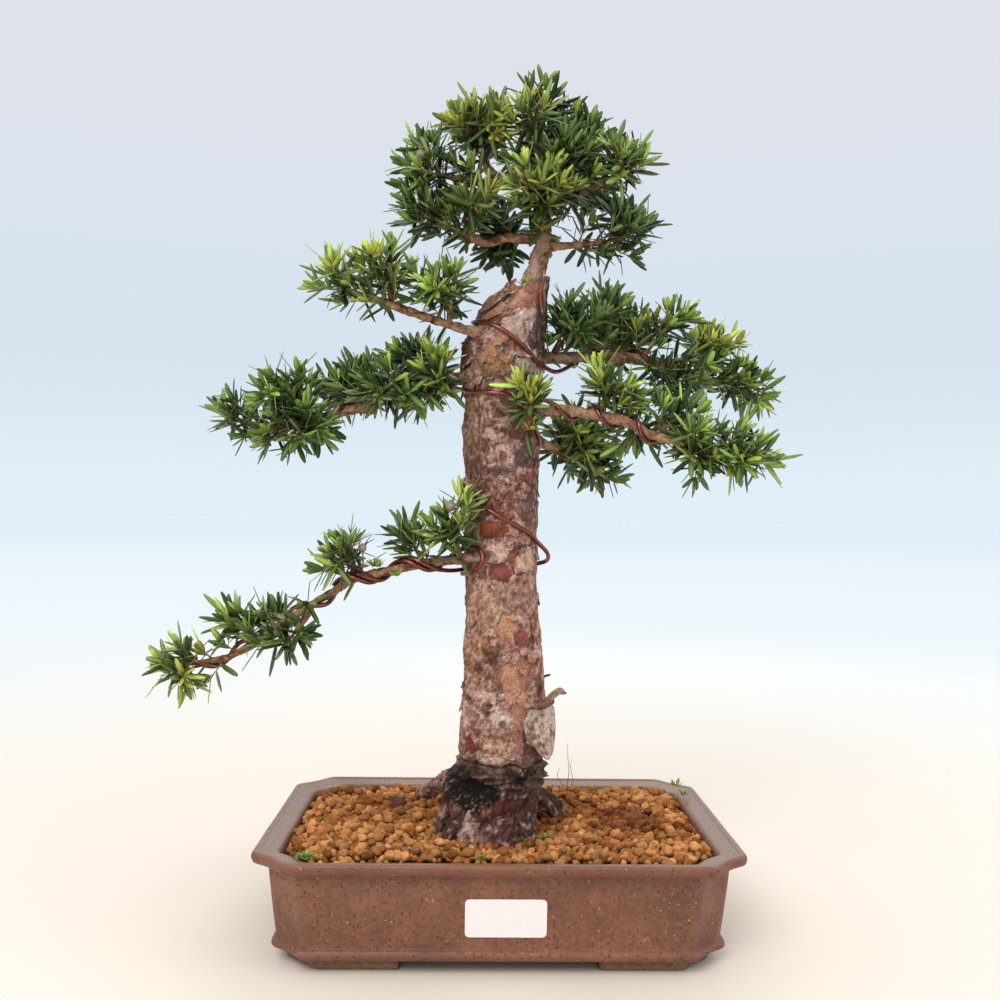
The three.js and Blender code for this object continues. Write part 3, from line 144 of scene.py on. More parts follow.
SPRAY_ROWS = {
    "crown": (
        ("crown_left", ((-60, -32, 534), (-62, -46, 505)), 0.4, 1.15, True),
        ("crown_upright", ((-38, -18, 557), (-8, -44, 545)), 0.85),
        ("crown_upright", ((-11, 0, 570), (-24, 26, 561)), 0.9, 0.85, True),
        ("leader", ((12, -46, 551),), 0.8), ("leader", ((22, -10, 571), (44, 4, 562)), 0.15, 0.85, True),
        ("leader", ((66, -12, 546), (52, 28, 550)), 0.3, 1.2),
        ("crown_right", ((82, -28, 531), (76, -57, 513)), 0.5, 1.1, True),
        ("leader", ((40, -56, 523),), 0.15, 1.2), ("leader", ((12, -64, 499), (34, -62, 500)), 0.7, 1.15),
        ("crown_low_right", ((90, -44, 476), (78, -18, 496)), 0.2, 1.0, True),
        ("crown_low_left", ((-64, -38, 489), (-50, -16, 496)), 0.3, 1.0, True),
        ("crown_low_left", ((-26, -48, 490),), 0.7),
        ("crown_low_left", ((-10, 4, 491), (-6, -4, 462)), 0.1, 1.15),
        ("crown_back", ((38, 54, 556), (4, 52, 553)), 0.4, 0.85, True),
        ("crown_back", ((68, 36, 522),), 0.3, 1.2)),
    "left_upper": (
        ("left_upper", ((-114, -72, 434),), 0.55, 1.0, True),
        ("left_upper", ((-90, -62, 447), (-76, -40, 440)), 0.75),
        ("left_upper", ((-50, -64, 432), (-32, -34, 438)), 0.5, 1.2)),
    "left_mid": (
        ("left_mid", ((-190, -12, 349),), 0.3, 1.0, True),
        ("left_mid", ((-164, -36, 359), (-138, 2, 372)), 0.35),
        ("left_mid", ((-160, -42, 331), (-122, -46, 337)), 0.25, 1.1),
        ("left_mid", ((-102, 16, 384), (-128, 46, 364)), 0.3, 1.15), ("left_mid", ((-87, -58, 361),), 0.2),
        ("left_mid", ((-74, 18, 395), (-62, 46, 382)), 0.4, 1.15),
        ("left_mid", ((-46, -42, 387), (-60, -36, 351)), 0.6, 0.9)),
    "left_low": (
        ("left_low", ((-216, -67, 182), (-204, -74, 172)), 0.7, 0.75, True),
        ("left_low", ((-180, -50, 212),), 0.5, 0.5), ("left_low", ((-156, -36, 210),), 0.3, 0.5),
        ("left_low_fork", ((-140, -72, 199),), 0.1, 0.65, True),
        ("left_low", ((-104, -34, 262), (-112, -58, 246)), 0.4, 0.75),
        ("left_low", ((-68, -28, 267),), 0.35, 0.75),
        ("left_low", ((-46, -50, 267), (-27, -50, 293)), 0.55, 0.8)),
    "right_upper": (
        ("right_upper", ((46, -22, 424), (54, -44, 404)), 0.1, 1.15),
        ("right_upper", ((76, -4, 434),), 0.3), ("right_upper", ((102, 34, 427), (82, 60, 418)), 0.3),
        ("right_upper", ((125, 0, 426),), 0.6), ("right_upper", ((158, 4, 408), (151, 44, 410)), 0.75),
        ("right_upper", ((188, 0, 370), (177, 28, 376)), 0.45, 1.0, True),
        ("right_upper", ((122, -12, 364),), 0.1, 1.2)),
    "right_mid": (
        ("right_mid", ((61, -56, 371), (89, -48, 362)), 0.7),
        ("right_mid", ((88, -42, 334),), 0.25, 1.15, False, 3),
        ("right_mid", ((120, -58, 348),), 0.4, 1.0, False, -6),
        ("right_mid", ((122, -90, 316),), 0.35, 0.85),
        ("right_mid", ((150, -97, 314), (170, -80, 317)), 0.55, 0.9, True)),
    "right_back": (
        ("right_back", ((46, 32, 346), (62, 8, 326)), 0.45, 1.4),
        ("right_back", ((72, 30, 332), (78, 50, 314)), 0.3, 1.3, True)),
    "front_shoot": (
        ("front_shoot", ((19, -62, 362),), 0.75, 0.5, True),),
}
SPRAYS = {f"{family}_{number}": SprayPlan(*row) for family, rows in SPRAY_ROWS.items()
          for number, row in enumerate(rows, 1)}


def paint(code: str) -> Array:
    """The linear colour of a display colour written as six hexadecimal digits."""
    display = np.array([int(code[i:i + 2], 16) for i in (0, 2, 4)]) / 255
    return np.where(display <= 0.04045, display / 12.92, ((display + 0.055) / 1.055) ** 2.4)


def tint(code: str) -> Colour:
    """The same colour as a tuple, for the field of a finish."""
    return tuple(paint(code))


def toward(colour: Array, code: str, share: Array | float) -> Array:
    """The colours blended towards one painted colour by a share for each point."""
    return colour + (paint(code) - colour) * np.asarray(share)[..., None]


# Repeatable randomness and noise on whole arrays

def chance(a: Array | float, b: Array | float = 0.0) -> Array:
    """A repeatable number from 0 to 1: the fraction left of a large multiple of a sine."""
    value = np.sin(np.asarray(a) * 127.1 + np.asarray(b) * 311.7) * 43758.5453
    return value - np.floor(value)


def smooth(value: Array, low: float, high: float) -> Array:
    """Rises from 0 at low to 1 at high along 3 t squared minus 2 t cubed."""
    t = np.clip((value - low) / (high - low), 0, 1)
    return t * t * (3 - 2 * t)


def bell(value: Array, middle: float, width: float) -> Array:
    """A bell curve: the exponential of minus the squared distance from the middle, in widths."""
    return np.exp(-((value - middle) / width) ** 2)


def scrambled(cells: Array, seed: int) -> Array:
    """A random number from 0 to 1 for each whole-number cell, by multiplying and shifting bits.

    Args:
        cells: whole numbers, shape (..., 3).
        seed: chooses another set of numbers.

    Returns:
        One number a cell.
    """
    n = cells.astype(np.int64)
    mixed = n[..., 0] * 374761393 + n[..., 1] * 668265263 + n[..., 2] * 1440662683 + seed * 974711
    mixed &= 0xFFFFFFFF
    mixed = ((mixed ^ (mixed >> 13)) * 1274126177) & 0xFFFFFFFF
    return (mixed ^ (mixed >> 16)) / 4294967295.0


def noise(points: Array, size: float, seed: int, layers: int = 3) -> Array:
    """Smooth noise from 0 to 1, each layer half the size and half the weight of the one before.

    Args:
        points: places in millimetres, shape (..., 3).
        size: width of the largest blobs.
        seed: chooses another noise.
        layers: how many sizes are added.

    Returns:
        One value a place: corner values of a cube lattice, blended between corners by smooth steps.
    """
    total, weight_sum = 0.0, 0.0
    for layer in range(layers):
        scaled = points * (2.0 ** layer / size)
        base = np.floor(scaled)
        part = scaled - base
        blend = part * part * (3 - 2 * part)
        value = 0.0
        for corner in itertools.product((0, 1), repeat=3):
            step = np.array(corner)
            share = np.prod(np.where(step == 1, blend, 1 - blend), axis=-1)
            value = value + share * scrambled(base + step, seed + 17 * layer)
        total = total + value * 0.5 ** layer
        weight_sum += 0.5 ** layer
    return total / weight_sum


def painted_on(shape: Sequence[int], *values: Array | float) -> Array:
    """Four painted values at every point of a shape, each a number or an array that fits the shape."""
    return np.stack([np.broadcast_to(value, shape) for value in values], -1).astype(float)


def with_fourth(colours: Array, value: float = 0.0) -> Array:
    """The colours with a fourth painted value, the same at every point."""
    return np.concatenate([colours, np.full((*colours.shape[:-1], 1), value)], -1)


def around(sides: int) -> Array:
    """Evenly spaced turns of a full circle, in radians."""
    return np.linspace(0, 2 * np.pi, sides, endpoint=False)


def unit(vectors: Array) -> Array:
    """The vectors at length one."""
    return vectors / np.maximum(np.linalg.norm(vectors, axis=-1, keepdims=True), 1e-12)


# Skins: points with faces and a painted colour

@dataclass
class Skin:
    """Points in millimetres, faces as quads and triangles, and four painted values a point."""
    points: Array
    quads: Array
    triangles: Array
    colours: Array

    @staticmethod
    def joined(skins: Sequence["Skin"]) -> "Skin":
        """All the skins as one, with their faces counted on.

        Args:
            skins: the skins, in order.

        Returns:
            One skin.
        """
        starts = np.cumsum([0] + [len(skin.points) for skin in skins[:-1]])
        rows = [(skin.points, skin.quads + k, skin.triangles + k, skin.colours)
                for skin, k in zip(skins, starts)]
        return Skin(*(np.concatenate(part) for part in zip(*rows)))

    @property
    def face_count(self) -> int:
        """How many triangles the skin comes to."""
        return 2 * len(self.quads) + len(self.triangles)


def ring_quads(rows: int, columns: int) -> Array:
    """Faces between neighbouring closed rings whose points are numbered ring by ring.

    Args:
        rows: how many rings.
        columns: how many points a ring has.

    Returns:
        Four point numbers a face.
    """
    index = np.arange(rows * columns).reshape(rows, columns)
    after = np.roll(index, -1, 1)
    return np.stack([index[:-1], after[:-1], after[1:], index[1:]], -1).reshape(-1, 4)


def swept(rings: Array, start: Array, end: Array, colours: Array, end_colours: Array) -> Skin:
    """Closes runs of rings into tubes whose two ends run together in a point.

    Args:
        rings: shape (copies, rows, columns, 3), each ring turning right-handed about the way it runs.
        start: the point before the first ring of each copy, shape (copies, 3).
        end: the point after the last ring of each copy.
        colours: four painted values a ring point, shape (copies, rows, columns, 4).
        end_colours: the same for the two end points, shape (copies, 2, 4).

    Returns:
        One skin of all the copies.
    """
    copies, rows, columns, _ = rings.shape
    size = rows * columns + 2
    points = np.concatenate([rings.reshape(copies, -1, 3), start[:, None], end[:, None]], 1)
    tints = np.concatenate([colours.reshape(copies, -1, 4), end_colours], 1)
    index = np.arange(columns)
    after = np.roll(index, -1)
    final = (rows - 1) * columns
    first = np.stack([np.full(columns, size - 2), after, index], -1)
    last = np.stack([np.full(columns, size - 1), final + index, final + after], -1)
    offset = (np.arange(copies) * size)[:, None, None]
    return Skin(points.reshape(-1, 3), (ring_quads(rows, columns) + offset).reshape(-1, 4),
                (np.concatenate([first, last]) + offset).reshape(-1, 3), tints.reshape(-1, 4))


def closed_run(rings: Array, colours: Array) -> Skin:
    """One tube from rings of shape (rows, columns, 3), its ends closed round their middles."""
    ends = np.stack([colours[0].mean(0), colours[-1].mean(0)])
    return swept(rings[None], rings[0].mean(0)[None], rings[-1].mean(0)[None], colours[None], ends[None])


def grid(rows: Array, sides: int) -> tuple[Array, Array]:
    """The row values and the turns of evenly spaced sides, each of shape (rows, sides)."""
    return np.meshgrid(rows, around(sides), indexing="ij")


def frames_along(path: Array) -> tuple[Array, Array, Array]:
    """Directions along a path and two square to it: the second leans to the least used axis.

    Args:
        path: its points, shape (points, 3).

    Returns:
        Three directions of length one a point.
    """
    along = unit(np.gradient(path, axis=0))
    axis = np.eye(3)[np.argmin(np.abs(along).mean(0))]
    normal = unit(axis - along * (along @ axis)[:, None])
    return along, normal, np.cross(along, normal)


def tube_rings(path: Array, radii: Array, sides: int) -> Array:
    """Circles of the given radii square to the path, shape (points, sides, 3).

    Args:
        path: the middle line, shape (points, 3).
        radii: one radius a point.
        sides: points on a circle.

    Returns:
        The rings.
    """
    _, normal, across = frames_along(path)
    turn = around(sides)
    circle = normal[:, None] * np.cos(turn)[None, :, None] + across[:, None] * np.sin(turn)[None, :, None]
    return path[:, None] + circle * radii[:, None, None]


def spline(points: Array, per_span: int) -> Array:
    """A curve through all the points.

    Each span is a cubic whose end slopes are half the gap between a point's two neighbours.

    Args:
        points: places, with any further values such as radii, one row each.
        per_span: how many points each span gets.

    Returns:
        The points of the curve.
    """
    padded = np.concatenate([2 * points[:1] - points[1:2], points, 2 * points[-1:] - points[-2:-1]])
    a, b, c, d = padded[:-3, None], padded[1:-2, None], padded[2:-1, None], padded[3:, None]
    t = np.linspace(0, 1, per_span, endpoint=False)[None, :, None]
    slope_b, slope_c = (c - a) / 2, (d - b) / 2
    curve = ((2 * t ** 3 - 3 * t ** 2 + 1) * b + (t ** 3 - 2 * t ** 2 + t) * slope_b
             + (3 * t ** 2 - 2 * t ** 3) * c + (t ** 3 - t ** 2) * slope_c)
    return np.concatenate([curve.reshape(-1, points.shape[1]), points[-1:]])


def evenly(path: Array, step: float) -> Array:
    """The same path with points an even step apart.

    Args:
        path: its points, with any further values.
        step: the distance wanted.

    Returns:
        The new points, the first and the last kept.
    """
    gone = np.concatenate([[0], np.cumsum(np.linalg.norm(np.diff(path[:, :3], axis=0), axis=1))])
    places = np.linspace(0, gone[-1], max(2, int(round(gone[-1] / step)) + 1))
    return np.stack([np.interp(places, gone, path[:, k]) for k in range(path.shape[1])], -1)


def rounded(loop: Array) -> Array:
    """A closed line with each point averaged with its two neighbours, which weigh half as much."""
    padded = np.concatenate([loop[-1:], loop, loop[:1]])
    return np.stack([np.convolve(padded[:, k], [0.25, 0.5, 0.25], "valid") for k in range(2)], -1)


def softened(path: Array, reach: int) -> Array:
    """The path averaged over a bell of neighbouring points, with its ends kept.

    Args:
        path: its points.
        reach: how many neighbours on each side count.

    Returns:
        As many points as before.
    """
    weights = np.exp(-np.linspace(-2, 2, 2 * reach + 1) ** 2)
    padded = np.concatenate([2 * path[:1] - path[reach:0:-1], path, 2 * path[-1:] - path[-2:-reach - 2:-1]])
    return np.stack([np.convolve(padded[:, k], weights / weights.sum(), "valid")
                     for k in range(path.shape[1])], -1)


# Pieces

def pot_middle() -> Array:
    """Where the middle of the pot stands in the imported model's frame, in metres."""
    low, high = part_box("pot")
    return np.array([(low.x + high.x) / 2, (low.y + high.y) / 2, 0.0])


def placed(name: str, data: bpy.types.ID) -> bpy.types.Object:
    """Puts a new object into the scene, at the origin.

    Args:
        name: the object's name.
        data: its mesh, camera or lamp.

    Returns:
        The object.
    """
    item = bpy.data.objects.new(name, data)
    bpy.context.scene.collection.objects.link(item)
    return item


def mesh_of(name: str, skin: Skin) -> bpy.types.Mesh:
    """A mesh of the skin's points and faces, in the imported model's metres.

    Args:
        name: the mesh's name.
        skin: points in millimetres round the middle of the pot.

    Returns:
        The mesh.
    """
    mesh = bpy.data.meshes.new(name)
    faces = skin.quads.tolist() + skin.triangles.tolist()
    mesh.from_pydata(skin.points * METRES + pot_middle(), [], faces)
    return mesh


def make_piece(name: str, skin: Skin, material: Material,
               stands_for: Sequence[str] = ()) -> bpy.types.Object:
    """Makes one smooth-shaded object of a skin that rides with the pot.

    Args:
        name: the piece's name.
        skin: its points, faces and paint.
        material: its finish.
        stands_for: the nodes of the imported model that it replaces.

    Returns:
        The object, at the origin, with its place in its mesh.
    """
    mesh = mesh_of(name, skin)
    layer = mesh.color_attributes.new("paint", "FLOAT_COLOR", "POINT")
    layer.data.foreach_set("color", skin.colours.astype(np.float32).ravel())
    mesh.polygons.foreach_set("use_smooth", np.ones(len(mesh.polygons), bool))
    mesh.materials.append(material)
    mesh.update()
    piece = placed(name, mesh)
    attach(piece, "root")
    if stands_for:
        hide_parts(*stands_for)
    LOG.info("%s: %d triangles", name, skin.face_count)
    return piece


# Finishes

class Nodes:
    """A short way to place and join shader nodes in one tree."""

    def __init__(self, tree: bpy.types.NodeTree) -> None:
        """Keeps the tree that the nodes go into."""
        self.tree = tree

    def put(self, value: object, socket: Socket) -> None:
        """Joins a socket to an input, or gives the input a plain number or colour.

        Args:
            value: a socket, a number or a colour.
            socket: the input that takes it.
        """
        if isinstance(value, Socket):
            self.tree.links.new(value, socket)
        elif socket.type == "RGBA":
            socket.default_value = (*[float(v) for v in value], 1.0)
        else:
            socket.default_value = value

    def add(self, kind: str, values: dict[str | int, object] | None = None, **settings: object) -> Node:
        """Adds a node.

        Args:
            kind: the node's type without its ShaderNode prefix.
            values: inputs by name or number, each with a plain value or a socket to join to it.
            settings: the node's own properties.

        Returns:
            The node.
        """
        node = self.tree.nodes.new(f"ShaderNode{kind}")
        for key, value in settings.items():
            setattr(node, key, value)
        for key, value in (values or {}).items():
            self.put(value, node.inputs[key])
        return node

    def mix(self, factor: object, first: object, second: object, blend: str = "MIX") -> Socket:
        """Blends two colours, each a socket or a plain colour."""
        values = {0: factor, 6: first, 7: second}
        return self.add("Mix", values, data_type="RGBA", blend_type=blend).outputs[2]

    def math(self, operation: str, first: object, second: object = 0.0) -> Socket:
        """One step of arithmetic on sockets or numbers."""
        return self.add("Math", {0: first, 1: second}, operation=operation).outputs[0]

    def scaled(self, colour: object, factor: Socket) -> Socket:
        """A colour made lighter or darker by a factor."""
        return self.add("VectorMath", {0: colour, "Scale": factor}, operation="SCALE").outputs[0]

    def ramp(self, factor: Socket, low: float, high: float) -> Socket:
        """A mask that rises smoothly from 0 at low to 1 at high."""
        values = {"Value": factor, "From Min": low, "From Max": high}
        return self.add("MapRange", values, interpolation_type="SMOOTHSTEP").outputs[0]

    def span(self, value: Socket, start: object, end: object, low: float = 0.0, high: float = 1.0) -> Socket:
        """Runs straight from start, where the value is low, to end, where it is high."""
        values = {"Value": value, "From Min": low, "From Max": high, "To Min": start, "To Max": end}
        return self.add("MapRange", values).outputs[0]


class Group(Nodes):
    """A new shader node group, with its input sockets, output sockets and object coordinates."""

    def __init__(self, name: str, inputs: dict[str, object], outputs: dict[str, str]) -> None:
        """Makes the group from its inputs' plain values and its outputs' kinds.

        Args:
            name: the group's name.
            inputs: the plain value of each input, by name.
            outputs: the socket kind of each output, by name.
        """
        super().__init__(bpy.data.node_groups.new(name, "ShaderNodeTree"))
        new_socket = self.tree.interface.new_socket
        for label, plain in inputs.items():
            kind = "NodeSocketFloat" if isinstance(plain, float) else "NodeSocketColor"
            new_socket(label, in_out="INPUT", socket_type=kind).default_value = plain
        for label, kind in outputs.items():
            new_socket(label, in_out="OUTPUT", socket_type=kind)
        self.given = self.tree.nodes.new("NodeGroupInput").outputs
        self.out = self.tree.nodes.new("NodeGroupOutput").inputs
        self.place = self.add("TexCoord").outputs["Object"]


class Effects:
    """Node groups that several finishes share, each built once."""

    def __init__(self) -> None:
        """Builds the mottle, the specks and the grain."""
        self.mottle = self._mottle()
        self.speckle = self._speckle()
        self.grain = self._grain()

    @staticmethod
    def _mottle() -> bpy.types.NodeTree:
        """A colour made lighter and darker by soft noise of a given size.

        Returns:
            The group, with the inputs Color, Scale, Dark and Light.
        """
        inputs = {"Color": (0.5, 0.5, 0.5, 1.0), "Scale": 60.0, "Dark": 0.7, "Light": 1.3}
        group = Group("soft mottle", inputs, {"Color": "NodeSocketColor"})
        given = group.given
        cloud = group.add("TexNoise", {"Vector": group.place, "Scale": given["Scale"], "Detail": 4.0,
                                       "Roughness": 0.6}).outputs[0]
        factor = group.span(cloud, given["Dark"], given["Light"], 0.3, 0.7)
        group.put(group.scaled(given["Color"], factor), group.out["Color"])
        return group.tree

    @staticmethod
    def _speckle() -> bpy.types.NodeTree:
        """A mask of scattered specks: the middles of random bent cells, of which a share is kept.

        Returns:
            The group, with the inputs Scale, Size and Share.
        """
        group = Group("specks", {"Scale": 400.0, "Size": 0.25, "Share": 0.4}, {"Mask": "NodeSocketFloat"})
        given = group.given
        warp = group.add("TexNoise", {"Vector": group.place, "Scale": 900.0, "Detail": 2.0})
        bent = group.add("VectorMath", {0: warp.outputs["Color"], 1: (0.0016, 0.0016, 0.0016),
                                        2: group.place}, operation="MULTIPLY_ADD")
        cells = group.add("TexVoronoi", {"Vector": bent.outputs[0], "Scale": given["Scale"]}).outputs
        near = group.math("LESS_THAN", cells["Distance"], given["Size"])
        pick = group.add("SeparateColor", {"Color": cells["Color"]}).outputs[0]
        kept = group.math("LESS_THAN", pick, given["Share"])
        group.put(group.math("MULTIPLY", near, kept), group.out["Mask"])
        return group.tree

    @staticmethod
    def _grain() -> bpy.types.NodeTree:
        """A fine surface normal from noise at one scale.

        Returns:
            The group, with the inputs Scale and Depth; Value is the noise itself.
        """
        group = Group("fine grain", {"Scale": 900.0, "Depth": 0.0002},
                      {"Normal": "NodeSocketVector", "Value": "NodeSocketFloat"})
        cloud = group.add("TexNoise", {"Vector": group.place, "Scale": group.given["Scale"], "Detail": 5.0,
                                       "Roughness": 0.65}).outputs[0]
        bump = group.add("Bump", {"Height": cloud, "Distance": group.given["Depth"], "Strength": 1.0})
        group.put(bump.outputs[0], group.out["Normal"])
        group.put(cloud, group.out["Value"])
        return group.tree


@dataclass(frozen=True)
class Finish:
    """What every finish shares: its name, plain roughness, gloss and the size and depth of its grain."""
    effects: Effects
    name: str = "finish"
    roughness: float = 0.6
    metallic: float = 0.0
    specular: float = 0.5
    grain_scale: float = 900.0
    grain_depth: float = 0.0002

    def material(self) -> Material:
        """Makes the material: a Principled shader with the finish's own inputs joined to it.

        Returns:
            The material.
        """
        made = bpy.data.materials.new(self.name)
        made.use_nodes = True
        nodes = Nodes(made.node_tree)
        shader = nodes.tree.nodes["Principled BSDF"]
        grain = nodes.add("Group", {"Scale": self.grain_scale, "Depth": self.grain_depth},
                          node_tree=self.effects.grain).outputs
        inputs = {"Roughness": self.roughness, "Metallic": self.metallic, "Specular IOR Level": self.specular,
                  "Normal": grain["Normal"], **self.dress(nodes, grain["Value"])}
        for key, value in inputs.items():
            nodes.put(value, shader.inputs[key])
        return made

    def dress(self, nodes: Nodes, grain: Socket) -> dict[str, Socket]:
        """The finish's own shader inputs, by name."""
        raise NotImplementedError

    def mottled(self, nodes: Nodes, colour: object, scale: float, dark: float, light: float) -> Socket:
        """A colour, plain or a socket, through the shared mottle."""
        values = {"Color": colour, "Scale": scale, "Dark": dark, "Light": light}
        return nodes.add("Group", values, node_tree=self.effects.mottle).outputs["Color"]

    def specks(self, nodes: Nodes, scale: float, size: float, share: float, depth: float) -> Socket:
        """A mask of specks from the shared group.

        Args:
            nodes: the tree.
            scale: how many cells a metre.
            size: a speck's radius as a share of its cell.
            share: how many cells have one.
            depth: how strong the mask is.

        Returns:
            The mask.
        """
        values = {"Scale": scale, "Size": size, "Share": share}
        mask = nodes.add("Group", values, node_tree=self.effects.speckle).outputs["Mask"]
        return nodes.math("MULTIPLY", mask, depth)

    @staticmethod
    def painted(nodes: Nodes) -> tuple[Socket, list[Socket], Socket]:
        """Reads the painted values.

        Args:
            nodes: the tree.

        Returns:
            The colour, its channels and the fourth value.
        """
        layer = nodes.add("Attribute", attribute_name="paint").outputs
        parts = nodes.add("SeparateColor", {"Color": layer["Color"]})
        return layer["Color"], list(parts.outputs)[:3], layer["Alpha"]


@dataclass(frozen=True)
class Bark(Finish):
    """Flaking bark: the painted colour with dark and pale grain, painted shade in the pits, glossier where it
    is wet.
    """
    name: str = "flaking bark"
    specular: float = 0.3
    grain_scale: float = 1300.0
    grain_depth: float = 0.0005
    dry_rough: float = 0.88
    wet_rough: float = 0.22
    # colour multiplied in as painted shade in the pits of the fine grain
    pit_shade: Colour = (0.56, 0.47, 0.42)

    def dress(self, nodes: Nodes, grain: Socket) -> dict[str, Socket]:
        """Joins paint, grain and wetness.

        Args:
            nodes: the tree.
            grain: the noise of the fine grain.

        Returns:
            Base Color and Roughness.
        """
        colour, _, wet = self.painted(nodes)
        varied = self.mottled(nodes, colour, 700.0, 0.64, 1.32)
        streaked = self.mottled(nodes, varied, 150.0, 0.85, 1.15)
        # painted shade: the colour is darkened where the fine grain is low, in its pits
        dark = nodes.mix(1.0, streaked, self.pit_shade, "MULTIPLY")
        return {"Base Color": nodes.mix(nodes.ramp(grain, 0.36, 0.5), dark, streaked),
                "Roughness": nodes.span(wet, self.dry_rough, self.wet_rough)}


@dataclass(frozen=True)
class Leaf(Finish):
    """Needles: painted freshness, stem mask, shade and place along the needle."""
    name: str = "yew needle"
    specular: float = 0.36
    grain_scale: float = 500.0
    grain_depth: float = 0.00012
    needle_rough: float = 0.33
    stem_rough: float = 0.8
    old: Colour = tint("2c3f18")
    grown: Colour = tint("6a7f42")
    new: Colour = tint("a2b652")
    gold: Colour = tint("c0b44a")
    bark: Colour = tint("8a5636")

    def dress(self, nodes: Nodes, grain: Socket) -> dict[str, Socket]:
        """Joins old, grown, new and golden green by freshness, and bark where it is stem.

        Args:
            nodes: the tree.
            grain: the noise of the fine grain, not used here.

        Returns:
            Base Color and Roughness.
        """
        _, (fresh, stem, shade), place = self.painted(nodes)
        low = nodes.mix(nodes.ramp(fresh, 0.0, 0.45), self.old, self.grown)
        mid = nodes.mix(nodes.ramp(fresh, 0.4, 0.85), low, self.new)
        top = nodes.mix(nodes.ramp(fresh, 0.9, 1.15), mid, self.gold)
        # painted shade and light: the third painted value darkens needles inside and under each spray and in
        # the crown, and lightens their tops
        shaded = nodes.scaled(top, nodes.span(shade, 0.02, 1.72))
        blade = nodes.mix(nodes.ramp(place, 0.0, 0.22), nodes.mix(0.45, shaded, self.new), shaded)
        return {"Base Color": self.mottled(nodes, nodes.mix(stem, blade, self.bark), 260.0, 0.86, 1.14),
                "Roughness": nodes.span(stem, self.needle_rough, self.stem_rough)}


@dataclass(frozen=True)
class Stoneware(Finish):
    """Brown unglazed stoneware with rust and pale specks; painted rim sheen, foot and edge masks."""
    name: str = "brown stoneware"
    specular: float = 0.45
    grain_scale: float = 620.0
    grain_depth: float = 0.00012
    body: Colour = tint("7f523c")
    rust: Colour = tint("743e2e")
    rim: Colour = tint("84674f")
    foot: Colour = tint("7a5f49")
    burnt: Colour = tint("452820")
    pale: Colour = tint("d6c4b8")

    def dress(self, nodes: Nodes, grain: Socket) -> dict[str, Socket]:
        """Joins the clay's colours, its specks and the shinier rim, which is given a painted sheen.

        Args:
            nodes: the tree.
            grain: the noise of the fine grain.

        Returns:
            Base Color and Roughness.
        """
        _, (rim, foot, edge), _ = self.painted(nodes)
        clay = self.mottled(nodes, self.body, 26.0, 0.68, 1.22)
        clay = self.mottled(nodes, clay, 320.0, 0.74, 1.2)
        clay = nodes.mix(nodes.math("MULTIPLY", edge, 0.6), clay, self.rust)
        clay = nodes.mix(self.specks(nodes, 230.0, 0.32, 0.5, 0.9), clay, self.rust)
        clay = nodes.mix(self.specks(nodes, 410.0, 0.32, 0.3, 0.75), clay, self.burnt)
        # painted sheen: the rim takes a greyer, paler colour
        clay = nodes.mix(nodes.math("MULTIPLY", rim, 0.8), clay, self.rim)
        clay = nodes.mix(foot, clay, self.mottled(nodes, self.foot, 260.0, 0.7, 1.3))
        clay = nodes.mix(self.specks(nodes, 560.0, 0.2, 0.07, 0.7), clay, self.pale)
        worn = nodes.span(grain, 0.42, 0.6, 0.3, 0.7)
        shiny = nodes.math("SUBTRACT", worn, nodes.math("MULTIPLY", rim, 0.24))
        return {"Base Color": clay, "Roughness": nodes.math("ADD", shiny, nodes.math("MULTIPLY", foot, 0.3))}


@dataclass(frozen=True)
class Clay(Finish):
    """Baked clay granules: painted tone, moisture and shade, and painted shadow in the gaps."""
    name: str = "baked clay granules"
    roughness: float = 0.95
    specular: float = 0.15
    grain_scale: float = 480.0
    grain_depth: float = 0.0024
    dry: Colour = tint("d49458")
    deep: Colour = tint("a25f29")
    moist: Colour = tint("7e411a")
    dust: Colour = tint("d9a975")
    shadow: Colour = tint("2c170a")

    def dress(self, nodes: Nodes, grain: Socket) -> dict[str, Socket]:
        """Joins dry, deep and moist clay by the paint, with pale dust on the high grain.

        Args:
            nodes: the tree.
            grain: the noise of the fine grain.

        Returns:
            Base Color.
        """
        _, (tone, moist, shade), gap = self.painted(nodes)
        base = nodes.mix(tone, self.deep, self.dry)
        base = nodes.mix(moist, base, self.moist)
        # painted shadow: the fourth painted value darkens the gaps and the underside of each granule
        base = nodes.mix(gap, base, self.shadow)
        shaded = nodes.scaled(self.mottled(nodes, base, 420.0, 0.75, 1.25), nodes.span(shade, 0.52, 1.36))
        dusty = nodes.math("MULTIPLY", nodes.ramp(grain, 0.52, 0.72), 0.55)
        return {"Base Color": nodes.mix(dusty, shaded, self.dust)}


@dataclass(frozen=True)
class Wire(Finish):
    """Copper-brown anodised aluminium with a dull drawn surface; cut ends are bare metal."""
    name: str = "anodised wire"
    metallic: float = 0.85
    grain_scale: float = 500.0
    grain_depth: float = 0.00008
    skin: Colour = tint("7c473e")
    worn: Colour = tint("b07a6c")
    bare: Colour = tint("b9b4b2")

    def dress(self, nodes: Nodes, grain: Socket) -> dict[str, Socket]:
        """Joins the anodised skin, its worn streaks and the painted bare ends.

        Args:
            nodes: the tree.
            grain: the noise of the fine grain.

        Returns:
            Base Color and Roughness.
        """
        _, (cut, _, _), _ = self.painted(nodes)
        worn = nodes.math("MULTIPLY", nodes.ramp(grain, 0.5, 0.75), 0.35)
        colour = nodes.mix(worn, self.mottled(nodes, self.skin, 90.0, 0.9, 1.1), self.worn)
        return {"Base Color": nodes.mix(cut, colour, self.bare),
                "Roughness": nodes.span(grain, 0.2, 0.34, 0.3, 0.7)}


